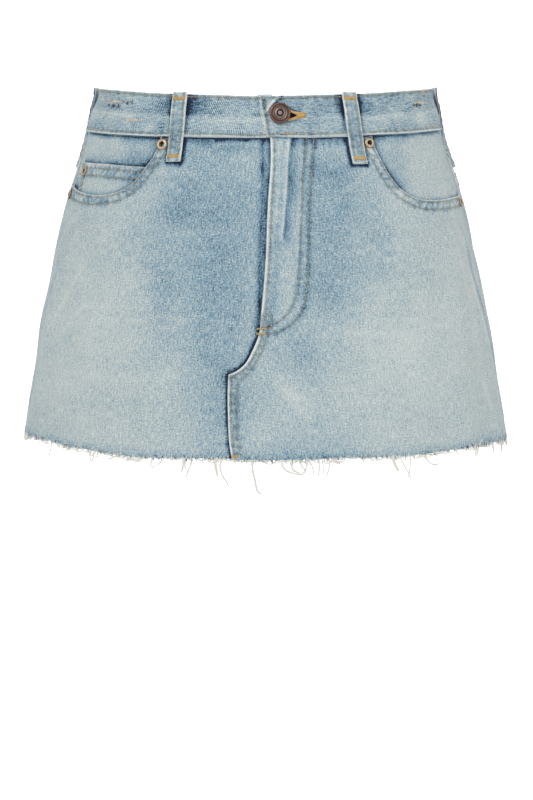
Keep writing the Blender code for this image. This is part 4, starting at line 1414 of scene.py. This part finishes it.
def front_left():
    lap = lapped_edge()
    outline, mouth, flank = front_outline("left", lap)
    fly, lower, ridge = curve(FLY_EDGE), curve(LOWER_LAP), curve(FLY_RIDGE)
    rows = [beside(fly, 3.0), *(curve(row) for row in FLY_ROWS), curve(FOOT_ROW), curve(LOWER_ROW)]
    rows += [beside(lower, 2.6), beside(mouth, -MOUTH_ROWS[0]), beside(mouth, -MOUTH_ROWS[1])]
    # Painted shadow under the band and beside and below the belt loop, painted shade beside the fly's fold
    # ridge, in a trough by the fly, along its rows and round its square tack, and in the dents below the
    # band.
    inks = [(under_band(2, 34, 0.7), 0.9, 0.75), (under_band(9, 34, 2.0), 1.6, 0.2)]
    inks += loop_painted_shadow("belt_loop_front_left")
    inks += [
        (beside(ridge, 1.9)[1:], 1.3, 0.22),
        (beside(ridge, 4.0), 4.2, 0.26),
        (curve([(3.4, -132), (2.6, -160), (1.6, -190)]), 3.0, 0.16),
        (beside(rows[1], 1.6), 2.2, 0.12),
        (rows[1], 1.8, 0.12),
        (rows[2], 1.8, 0.1),
        (under_band(9, 34, 4.5), 3.0, 0.16),
        (straight(SQUARE_TACK), 0.9, 0.35),
    ]
    inks += [(np.array([(x, -46.5), (x - 0.3, -46.5 - drop)]), 1.4, 0.36) for x, drop in UNDER_BAND_SHADE]
    # Softer changes of dye, among them a painted highlight, with wear, along the fly's fold ridge and painted
    # shade beside it.
    washes = [
        (beside(mouth, -5.0), 3.6, 0.08),
        (ridge, 1.0, -0.24),
        (beside(lap[lap[:, 1] > -225], 1.3), 1.3, -0.26),
        (beside(lap[lap[:, 1] < -222], 0.9), 0.8, -0.34),
        (beside(ridge, -4.0), 1.4, 0.05),
        (beside(ridge, -7.0), 1.4, -0.04),
        (beside(ridge, 6.0), 3.0, 0.04),
        (flank, 1.3, 0.14),
        (beside(flank, 4.0), 2.2, -0.07),
        (curve([(7.0, -100), (6.4, -140), (5.8, -190)]), 2.6, -0.08),
        (curve([(10.4, -60), (9.0, -120), (7.6, -160)]), 2.0, -0.1),
    ]
    folds = [(lap, 7.0, 1.15, 0.1), (mouth, MOUTH_ROWS[1], 0.8, 0.4)]
    return Cut(outline, depth=lap_lift, folds=folds, rows=rows, inks=inks, washes=washes)


def front_right():
    lap = lapped_edge()
    outline, mouth, flank = front_outline("right", lap + (LAP_UNDER, 0))
    shadow = curve(FLY_SHADOW)
    rows = [beside(mouth, distance) for distance in MOUTH_ROWS]
    washes = [(beside(mouth, 5.0), 3.6, 0.14), (flank, 1.3, 0.14), (beside(flank, -4.0), 2.2, -0.07)]
    # Painted shadow of the lapped fly on the cloth beneath it, with unfaded dye, and painted shade under the
    # band, in a dent below it and beside the belt loop.
    inks = [
        (beside(lap[lap[:, 1] > -204], -1.0), 1.4, 0.5),
        (beside(lap[lap[:, 1] < -196], -0.5), 0.8, 0.9),
        (beside(lap[(lap[:, 1] < -196) & (lap[:, 1] > -245)], -1.6), 2.6, 0.24),
        (shadow, 1.1, 0.34),
        (shadow, 3.4, 0.24),
        (under_band(-33, -17, 4.5), 3.4, 0.28),
        (np.array([(-14, -55.5), (-11, -54.6), (-8, -54.2), (-5, -54.5), (-2, -55.5)]), 2.2, 0.16),
        (under_band(-33, 1, 0.7), 0.9, 0.9),
        (under_band(-33, 1, 2.2), 1.8, 0.3),
        (under_band(-15, -5, 2.2), 1.4, 0.4),
    ]
    inks += loop_painted_shadow("belt_loop_front_right")
    return Cut(outline, folds=[(mouth, MOUTH_ROWS[1], 0.8, 0.4)], rows=rows, inks=inks, washes=washes)


def facing(side):
    """The cloth behind a front pocket's mouth. The right one lies deeper, behind the coin pocket."""
    edge = SIDE_SEAM - HALF_SEAM
    corner, low = FACING_FOOT[0][1], FACING_FOOT[-1][0]
    top = under_band(low, edge, -TUCKED)
    outline = join(top, upright(edge, top[-1, 1], corner), curve([(edge, corner)] + FACING_FOOT[1:]))
    mouth = pocket_mouth("left" if side > 0 else "right")
    upper = mouth[mouth[:, 1] > -88]
    # Painted shade under the pocket's mouth, deepest in its corner at the side seam on the left, and painted
    # shade under the band.
    corner_painted_shade = 0.4 if side > 0 else 0.0
    inks = [(mouth, 1.5, 0.4), (upper, 4.0, 0.3), (upper, 9.0, 0.24), (mouth[-3:], 4.0, corner_painted_shade)]
    inks.append((under_band(side * 34, side * 80, 0.8), 0.9, 0.6))
    inks.append((under_band(side * 34, side * 50, 3.0), 4.0, 0.22))
    table = FADES + POCKET_FADES
    if side > 0:
        return Cut(outline, -LIFT, -LAYER_GAP, inks=inks, table=table)
    coin = curve(COIN_POCKET[:3])
    # Painted shadow above the coin pocket's mouth.
    inks += [(coin + (0, 0.6), 0.9, 0.62), (coin + (0, 3.0), 3.4, 0.1)]
    return Cut(mirrored(outline), depth=facing_depth, inks=inks, table=table)


def coin_pocket():
    corners = COIN_POCKET
    mouth = curve(corners[:3])
    outline = join(mouth, straight(corners[2:4]), curve(corners[3:]), straight([corners[-1], corners[0]]))
    flank = straight(COIN_SIDE)
    rows = [beside(mouth, -4.4), beside(mouth, -10.6), beside(flank, 1.6), beside(flank, 5.0)]
    # Painted shadow under the front pocket's mouth, painted shade below the coin pocket's rows, and darker
    # cloth between them.
    inks = [(pocket_mouth("right")[:-4], 2.6, 0.45), (beside(mouth, -12.0), 1.1, 0.2)]
    inks.append((beside(mouth, -7.5)[6:], 2.0, 0.15))
    folds = [(mouth, 10.6, 0.7, 0.4), (flank, 5.0, 0.7, 0.0)]
    table = FADES + POCKET_FADES
    return Cut(outline, -LIFT, -LAYER_GAP, folds=folds, rows=rows, inks=inks, grid=BAND_GRID, table=table)


def yoke(side):
    near, far = side * (SIDE_SEAM + HALF_SEAM), side * (CENTRE_BACK - HALF_SEAM)
    top, foot = shifted(band_seam, -SEAM_GAP / 2), shifted(yoke_seam, SEAM_GAP / 2)
    seam = between(far, near, foot)
    centre, flank = upright(far, top(far), foot(far)), upright(near, foot(near), top(near))
    outline = join(between(near, far, top), centre, seam, flank)
    rows = [beside(seam, -side * distance) for distance in SEAM_ROWS]
    # Painted shade under the band.
    inks = [(under_band(near, far, 2.0), 2.4, 0.55)]
    return Cut(outline, folds=[(seam, SEAM_ROWS[1], 0.85, 0.35)], rows=rows, inks=inks, dye=0.06)


def back(side):
    near, far = side * (SIDE_SEAM + HALF_SEAM), side * (CENTRE_BACK - HALF_SEAM)
    top = shifted(yoke_seam, -SEAM_GAP / 2)
    centre = upright(far, top(far), hem(far))
    flank = upright(near, hem(near), top(near))
    outline = join(between(near, far, top), centre, between(far, near, hem), flank)
    corners = back_pocket(side)
    # Painted shade below the yoke seam and along the patch pocket's edges, with the dye that they have
    # sheltered.
    yoke_shade_and_dye = between(near, far, shifted(yoke_seam, -2.0))
    inks = [(yoke_shade_and_dye, 2.0, 0.5), (straight(corners + corners[:1]), 2.6, 0.5)]
    folds = [(flank, 7.0, 0.5, 0.2)]
    rows = []
    if side > 0:
        rows = [beside(centre, -distance) for distance in SEAM_ROWS]
        folds.append((centre, SEAM_ROWS[1], 0.85, 0.35))
    return Cut(outline, folds=folds, rows=rows, inks=inks, dye=0.06)


def patch(side):
    corners = back_pocket(side)
    mouth, rim = straight(corners[:2]), straight(corners[1:] + corners[:1])
    rows = [beside(rim, -side * SEAM_ROWS[0]), beside(straight(inset(corners, SEAM_ROWS[1])), 0.0)]
    rows += [beside(mouth, -side * SEAM_ROWS[0]), beside(mouth, -side * 12.0)]
    folds = [(rim, SEAM_ROWS[1], 0.7, 0.2), (mouth, 12.0, 0.9, 0.25)]
    return Cut(join(straight(corners + corners[:1])), depth=gape, folds=folds, rows=rows, dye=0.04)


def inset(corners, distance):
    """The sides and foot of a pocket's outline moved in, from its mouth round to its mouth."""
    middle = np.mean(corners, axis=0)
    scale = pace(*middle)[0], 1
    flat = (np.array(corners[1:] + corners[:1], float) - middle) * scale
    runs = unit(np.diff(flat, axis=0))
    inward = np.stack([-runs[:, 1], runs[:, 0]], axis=1)
    inward *= np.sign((inward * -(flat[:-1] + flat[1:]) / 2).sum(1, keepdims=True))
    moved = [flat[0] + inward[0] * distance]
    for first, second, corner in zip(inward, inward[1:], flat[1:]):
        turn = unit(first + second)
        moved.append(corner + turn * distance / (turn @ second))
    moved.append(flat[-1] + inward[-1] * distance)
    return [tuple(p) for p in np.array(moved) / scale + middle]


def keyhole(outer=False):
    """The buttonhole's opening, or its thread's outer edge: an eye at the button and a slit that closes."""
    middle, level = spot("waist_button")
    (eye, turn), slit = (THREAD_EYE, THREAD_EDGE) if outer else (SLIT_EYE, SLIT_EDGE)
    turns = np.radians(np.linspace(turn, FULL_TURN - turn, 22))
    points = [(eye * math.cos(t), eye * math.sin(t) - EYE_DROP) for t in turns]
    points += [(x, low) for x, low, _ in slit] + [(x, high) for x, _, high in reversed(slit)]
    return np.array(points) / (pace(middle, level)[0], 1) + (middle, level)


def pocket_tacks(cut, side):
    """The bar tacks at a patch pocket's two upper corners."""
    tacks = []
    for (around, level), inward in zip(back_pocket(side), (3, -3)):
        near = walk(abs(around), level, inward) * side
        tacks.append((cut, *tack_ends((near, level - 1.5), (near, level - 9), 2.6)))
    return tacks


def waistband():
    """The band, laid out from its over end at the front, backwards round to its under end."""
    start, foot = OVER_END[0] - FULL_TURN, OVER_END[1] - FULL_TURN
    seam = shifted(band_seam, SEAM_GAP / 2)
    under = upright(UNDER_END, waist_edge(UNDER_END), seam(UNDER_END))
    over = straight([(foot, float(seam(foot))), (start, float(waist_edge(start)))])
    top, bottom = between(start, UNDER_END, waist_edge), between(UNDER_END, foot, seam)
    hole = keyhole() - (FULL_TURN, 0)
    shaded, crest = between(start, UNDER_END, shifted(waist_edge, -7.5)), between(start, UNDER_END, band_fold)
    washes = []
    for first, high, last, low, reach, dye in OVER_FOLDS:
        washes.append((straight([(first - FULL_TURN, high), (last - FULL_TURN, low)]), reach, dye))
    # Painted shade over the band's upper half down to its fold, a painted highlight with wear along the
    # fold's crest, and darker cloth above the band's foot.
    washes += [(shaded, 4.6, 0.1), (beside(top, -15.5), 4.0, 0.13)]
    washes += [(crest, 1.3, -0.10), (beside(bottom, -6), 4.5, 0.1)]
    return Cut(
        join(top, under, bottom, over),
        BAND_INNER,
        BAND_OUTER,
        depth=band_depth,
        folds=[(top, 2.3, 0.6, 0.0), (bottom, 2.6, 1.2, 0.0), (over, 3.0, 1.2, 0.0)],
        rows=[beside(top, -2.3), beside(bottom, -2.4), beside(over, -3.0)],
        # Painted shadow inside the buttonhole, on the under end behind it and round its edge, and unfaded dye
        # and painted shade beside the belt loops.
        inks=[(closed(hole), 2.0, 0.3), (keyhole(), 3.0, 1.0), *loop_dye_and_shade()],
        washes=washes,
        holes=[hole],
        grid=BAND_GRID,
        table=BAND_FADES + [(row[0] - FULL_TURN, *row[1:]) for row in BAND_FADES if row[0] > -20],
        middle=-170.0,
    )


def darns(cut, dark):
    """Short threads of the pale or the dark darned places, as the two ends of each."""
    draw = np.random.default_rng(77)
    rows = []
    for around, level, across, down, count, is_dark in DARNS:
        spots = np.stack([draw.normal(0, across / 2, count), draw.normal(0, down / 2, count)], axis=1)
        steps = np.stack([draw.normal(*run, count) for run in DARN_RUN], axis=1)
        scale = pace(around, level)[0], 1
        middle = np.array([around - (FULL_TURN if around > 0 else 0), level])
        if is_dark == dark:
            rows.append((cut, middle + spots / scale, middle + (spots + steps) / scale))
    return rows


def loop_dye_and_shade():
    """Unfaded dye and painted shade on the band beside the belt loops: a narrow line and a soft one at each
    side of them.
    """
    inks = []
    for node in LOOP_LEAN:
        middle, _ = spot(node)
        for way in (-1, 1):
            seat = "other"
            if abs(middle) < SIDE_SEAM:
                seat = "front"
            elif abs(middle) < 100 and way * middle < 0:
                seat = "shut"
            for turn in (0, -FULL_TURN):
                reach = way * (LOOP_WIDTH / 2 + 0.9)
                line = [(walk(middle + turn, level, reach), level) for level in (0.0, -40.0)]
                if OVER_END[0] - FULL_TURN < line[0][0] < UNDER_END:
                    line = straight(line)
                    inks += [(line, 1.5, LOOP_DYE_AND_SHADE[seat][0]), (line[1:13], 4.5, LOOP_DYE_AND_SHADE[seat][1])]
    return inks


def loop_painted_shadow(node):
    """The painted shadow that a belt loop casts beside and below it on the panel."""
    middle, _ = spot(node)
    low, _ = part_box(node)
    foot = low.z / MM
    end = middle + LOOP_LEAN[node] / 2
    lines = []
    for way in (-1, 1):
        reach = way * (LOOP_WIDTH / 2 + 0.6)
        ends = [(walk(middle, -45.0, reach), -45.0), (walk(end, foot, reach), foot)]
        lines.append((straight(ends), 1.5, 0.75))
    ends = [(walk(end, foot - 0.8, way * LOOP_WIDTH / 2), foot - 0.8) for way in (-1, 1)]
    return lines + [(straight(ends), 1.2, 0.75)]


def belt_loop(node):
    """A belt loop's cut and the threads of its two bar tacks."""
    middle, _ = spot(node)
    low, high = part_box(node)
    top, foot = high.z / MM, low.z / MM
    lean = LOOP_LEAN[node] / 2
    places = ((top, -lean, -1), (foot, lean, -1), (foot, lean, 1), (top, -lean, 1))
    corners = [(walk(middle + shift, level, way * LOOP_WIDTH / 2), level) for level, shift, way in places]
    ends = [straight(corners[:2]), straight(corners[2:])]
    at_side = "side" in node
    forward = int(middle < 0)

    def stand(around, level):
        dent = np.minimum(LOOP_DENT * pressed(around, level, BAND_CREASES), 0)
        return np.interp(top - level, *zip(*LOOP_STAND)) * (SIDE_STAND if at_side else 1) + dent

    # A side loop's forward edge is left almost unworn, as painted shade.
    folds = [(ends[way], LOOP_ROW, 0.1 if at_side and way == forward else 1.1, 0.1) for way in (0, 1)]
    folds += [(straight(corners[1:3]), 5.0, 0.9, 0.0), (straight([corners[0], corners[3]]), 4.5, 0.5, 0.0)]
    (left, _), (left_foot, _), (right_foot, _), (right, _) = corners
    inks = [(straight([((left + right) / 2, top - 8), ((left_foot + right_foot) / 2, foot + 8)]), 2.0, 0.2)]
    if at_side:
        # Painted shade over the forward half of a side loop.
        inks.append((ends[forward][ends[forward][:, 1] > -34], 5.0, 0.85))
    more = {"folds": folds, "inks": inks, "rows": [beside(end, LOOP_ROW) for end in ends], "dye": 0.02}
    more |= {"grid": LOOP_GRID, "table": [(middle, foot + 20, 30, 12, 0.12)]}
    outline = join(straight(corners + corners[:1]))
    cut = Cut(outline, BAND_OUTER, BAND_OUTER + LOOP_THICK, depth=stand, **more)
    tacks = []
    for level, shift in ((top - LOOP_TACKS[0], -lean), (foot + LOOP_TACKS[1], lean)):
        ends = [(walk(middle + shift, level, reach), level) for reach in (-5.0, 5.0)]
        tacks.append((cut, *tack_ends(*ends, 3.2)))
    return cut, tacks


def aimed(name, data, location, aim):
    """Links a camera or a lamp that looks at a point."""
    item = linked(name, data)
    item.location = location
    item.rotation_euler = (Vector(aim) - item.location).to_track_quat("-Z", "Y").to_euler()
    return item


def rows_of(*cuts):
    """Every row of stitches of some pieces."""
    return [(cut, *stitch_ends(row)) for cut in cuts for row in cut.rows]


# Operators


class FrayHem(bpy.types.Operator):
    """Makes the raw hem's fringe: short cut ends, loose yarn along it, and long hanging threads."""

    bl_idname = "skirt.fray_hem"
    bl_label = "Frayed hem"

    def execute(self, context):
        settings = context.scene.skirt_thread
        look = [yarn("loose yarn", settings.cream, context.scene.skirt_denim)]
        foot = LOWER_LAP[-1][0]
        ends = {
            "front_left": (front_left(), foot + 0.4, SIDE_SEAM),
            "front_right": (front_right(), -SIDE_SEAM, foot + LAP_UNDER),
            "back_left": (back(1), SIDE_SEAM, CENTRE_BACK),
            "back_right": (back(-1), -CENTRE_BACK, -SIDE_SEAM),
        }
        for seed, (part, (cut, start, end)) in enumerate(ends.items()):
            fringe(f"fringe_{part}", cut, start, end, settings.fuzz, look, part, seed)
        return {"FINISHED"}


class SewFronts(bpy.types.Operator):
    """Makes the two front panels with their fly, laps and topstitching."""

    bl_idname = "skirt.sew_fronts"
    bl_label = "Fronts"

    def execute(self, context):
        looks = looks_of(context.scene, "denim cloth")
        tan, ochre = seam_threads(context.scene)
        left, right = front_left(), front_right()
        square = [(left, *stitch_ends(straight(SQUARE_TACK), 2.2, 0.4))]
        on_left = [
            bpy.data.objects["fringe_front_left"],
            thread("front_left_stitches", rows_of(left), tan, seed=2),
            thread("fly_square_tack", square, tan, seed=4),
            thread("fly_bar_tacks", [(left, *tack_ends(*bar)) for bar in FLY_TACKS], ochre, seed=5),
        ]
        on_right = [
            bpy.data.objects["fringe_front_right"],
            thread("front_right_stitches", rows_of(right), tan, seed=3),
        ]
        sew("front_left_cloth", left, looks, "front_panel_left")
        sew("front_right_cloth", right, looks, "front_panel_right")
        return {"FINISHED"}


class SewPockets(bpy.types.Operator):
    """Makes the facings behind the front pockets' mouths and the small inner pocket."""

    bl_idname = "skirt.sew_pockets"
    bl_label = "Front pockets"

    def execute(self, context):
        looks = looks_of(context.scene, "denim facing", -0.03)
        tan, _ = seam_threads(context.scene)
        for hand, side in SIDES.items():
            node = f"pocket_facing_{hand}"
            sew(f"facing_{hand}_cloth", facing(side), looks, node)
        coin = coin_pocket()
        stitches = [thread("coin_pocket_stitches", rows_of(coin), tan, seed=6)]
        sew("coin_pocket_cloth", coin, looks, "coin_pocket")
        return {"FINISHED"}


class SewBacks(bpy.types.Operator):
    """Makes the back panels, yokes and patch pockets with their topstitching."""

    bl_idname = "skirt.sew_backs"
    bl_label = "Backs"

    def execute(self, context):
        looks = looks_of(context.scene, "denim cloth")
        tan, ochre = seam_threads(context.scene)
        for hand, side in SIDES.items():
            parts = {
                "back": (back(side), "back_panel", "waistband"),
                "yoke": (yoke(side), "back_yoke", "waistband"),
                "back_pocket": (patch(side), "back_pocket", f"back_panel_{hand}"),
            }
            for number, (part, (cut, node, rests)) in enumerate(parts.items()):
                extras = [bpy.data.objects[f"fringe_back_{hand}"]] if part == "back" else []
                name = f"{part}_{hand}"
                if cut.rows:
                    extras.append(thread(f"{name}_stitches", rows_of(cut), tan, seed=7 + number))
                if part == "back_pocket":
                    extras.append(thread(f"{name}_tacks", pocket_tacks(cut, side), ochre, seed=12))
                sew(f"{name}_cloth", cut, looks, f"{node}_{hand}")
        return {"FINISHED"}


class SewWaistband(bpy.types.Operator):
    """Makes the waistband with its topstitching, buttonhole and darns."""

    bl_idname = "skirt.sew_waistband"
    bl_label = "Waistband"

    def execute(self, context):
        looks = looks_of(context.scene, "denim band", 0.03, 1.0)
        band = waistband()
        tan, ochre = seam_threads(context.scene)
        pale = [cotton("darning thread", *(linear(colour) for colour in PALE_DARN))]
        dark = [cotton("dark darning thread", *(linear(colour) for colour in DARK_DARN))]
        edges = [closed(line) - (FULL_TURN, 0) for line in (keyhole(), keyhole(outer=True))]
        ends = [placed(edge, lambda length: np.linspace(0, length, BUTTONHOLE_THREADS)) for edge in edges]
        foot = [turn - FULL_TURN for turn in BAND_FOOT_TACK]
        foot_tack = stitch_ends(between(*foot, shifted(band_seam, 2.8)), 1.7, 0.2)
        extras = [
            thread("waistband_stitches", rows_of(band), tan, seed=20),
            thread("buttonhole_thread", [(band, *ends)], ochre, 0.42, 0.3, 21, mottle=0.6),
            thread("band_foot_tack", [(band, *foot_tack)], ochre, 0.5, 0.3, 23, mottle=0.5),
            thread("waistband_darns_pale", darns(band, False), pale, 0.36, 0.24, seed=22),
            thread("waistband_darns_dark", darns(band, True), dark, 0.36, 0.24, seed=22),
        ]
        sew("waistband_cloth", band, looks, "waistband")
        return {"FINISHED"}


class SewBeltLoops(bpy.types.Operator):
    """Makes the belt loops with their stitching and bar tacks."""

    bl_idname = "skirt.sew_belt_loops"
    bl_label = "Belt loops"

    def execute(self, context):
        looks = looks_of(context.scene, "denim band", 0.03, 1.0)
        tan, ochre = seam_threads(context.scene)
        for number, node in enumerate(LOOP_LEAN):
            cut, tacks = belt_loop(node)
            name = node.replace("belt_", "")
            extras = [
                thread(f"{name}_stitches", rows_of(cut), tan, seed=30 + number),
                thread(f"{name}_tacks", tacks, ochre, seed=40 + number),
            ]
            sew(f"{name}_cloth", cut, looks, node)
        return {"FINISHED"}


class SetHardware(bpy.types.Operator):
    """Makes the waist button and the rivets."""

    bl_idname = "skirt.set_hardware"
    bl_label = "Button and rivets"

    def execute(self, context):
        button = metal("aged copper", BUTTON_RINGS, 0.03)
        seat = BAND_OUTER + LAYER_GAP
        turned("waist_button_metal", BUTTON_PROFILE, button, "button_copper", *spot("waist_button"), seat)
        copper = metal("worn copper", RIVET_RINGS, 0.05)
        for node, (seat, size) in RIVETS.items():
            around, level = spot(node)
            seat = seat + SEAM_GAP + relief(around, level)[0]
            sized = [(reach * size, height) for reach, height in RIVET_PROFILE]
            turned(f"{node}_metal", sized, copper, "rivet_copper", around, level, seat)
        return {"FINISHED"}


class SetStudio(bpy.types.Operator):
    """Makes the camera, the white room, its lights and the floor."""

    bl_idname = "skirt.set_studio"
    bl_label = "Studio"

    def execute(self, context):
        scene = context.scene
        studio = scene.skirt_studio
        lens = bpy.data.cameras.new("camera")
        lens.lens = studio.lens
        view = (0.001, -studio.distance, studio.eye), (0.001, 0, studio.aim)
        scene.camera = aimed("camera", lens, *view)
        scene.view_settings.view_transform = "Standard"
        world = bpy.data.worlds.new("white room")
        world.use_nodes = True
        background = world.node_tree.nodes["Background"].inputs
        background["Color"].default_value = (1, 1, 1, 1)
        background["Strength"].default_value = studio.fill
        scene.world = world
        middle = (0, 0, -0.15)
        for name, power, size, spot_at, aim in (
            ("key", studio.key, 0.8, (-1.0, -2.1, 1.4), middle),
            ("side", studio.key * 0.42, 1.6, (1.8, -1.5, 0.4), middle),
            ("rear", studio.key * 0.28, 1.2, (0.9, 2.0, 1.3), middle),
            ("backdrop", studio.rear, 3.0, (0, 1.6, 1.6), (0, 4, -0.9)),
        ):
            light = bpy.data.lights.new(name, "AREA")
            light.energy = power
            light.size = size
            aimed(name, light, spot_at, aim)
        start, turn, end, bend, wide = FLOOR
        turns = np.radians(np.arange(0, 91, 10))
        profile = [(start, 0), (turn, 0)]
        profile += [(turn + bend * math.sin(t), bend * (1 - math.cos(t))) for t in turns]
        points = [(x, y, studio.floor + z) for y, z in profile for x in (-wide, wide)]
        points += [(x, turn + bend, end) for x in (-wide, wide)]
        faces = [(2 * i, 2 * i + 1, 2 * i + 3, 2 * i + 2) for i in range(len(profile))]
        floor = mesh_of("floor", points, faces)
        floor.shade_smooth()
        floor.materials.append(Look("studio white").finish((*linear(STUDIO_WHITE), 1), 0.9))
        stage = linked("floor", floor)
        return {"FINISHED"}


class SkirtPanel(bpy.types.Panel):
    """Lists the skirt's settings and the steps that make it."""

    bl_idname = "VIEW3D_PT_skirt"
    bl_label = "Denim mini skirt"
    bl_space_type = "VIEW_3D"
    bl_region_type = "UI"
    bl_category = "Skirt"

    def draw(self, context):
        for step in STEPS:
            self.layout.operator(step.bl_idname)
        for group in (context.scene.skirt_denim, context.scene.skirt_thread, context.scene.skirt_studio):
            for name in group.__annotations__:
                self.layout.prop(group, name)


STEPS = (SetStudio, FrayHem, SewFronts, SewPockets, SewBacks, SewWaistband, SewBeltLoops, SetHardware)
GROUPS = {"skirt_denim": SkirtDenim, "skirt_thread": SkirtThread, "skirt_studio": SkirtStudio}


def register():
    for group in (*GROUPS.values(), *STEPS, SkirtPanel):
        bpy.utils.register_class(group)
    for name, group in GROUPS.items():
        setattr(bpy.types.Scene, name, bpy.props.PointerProperty(type=group))


def unregister():
    for name in GROUPS:
        delattr(bpy.types.Scene, name)
    for group in (SkirtPanel, *reversed(STEPS), *GROUPS.values()):
        bpy.utils.unregister_class(group)


def main():
    register()
    for step in STEPS:
        area, action = step.bl_idname.split(".")
        getattr(getattr(bpy.ops, area), action)()


if __name__ == "__main__":
    main()
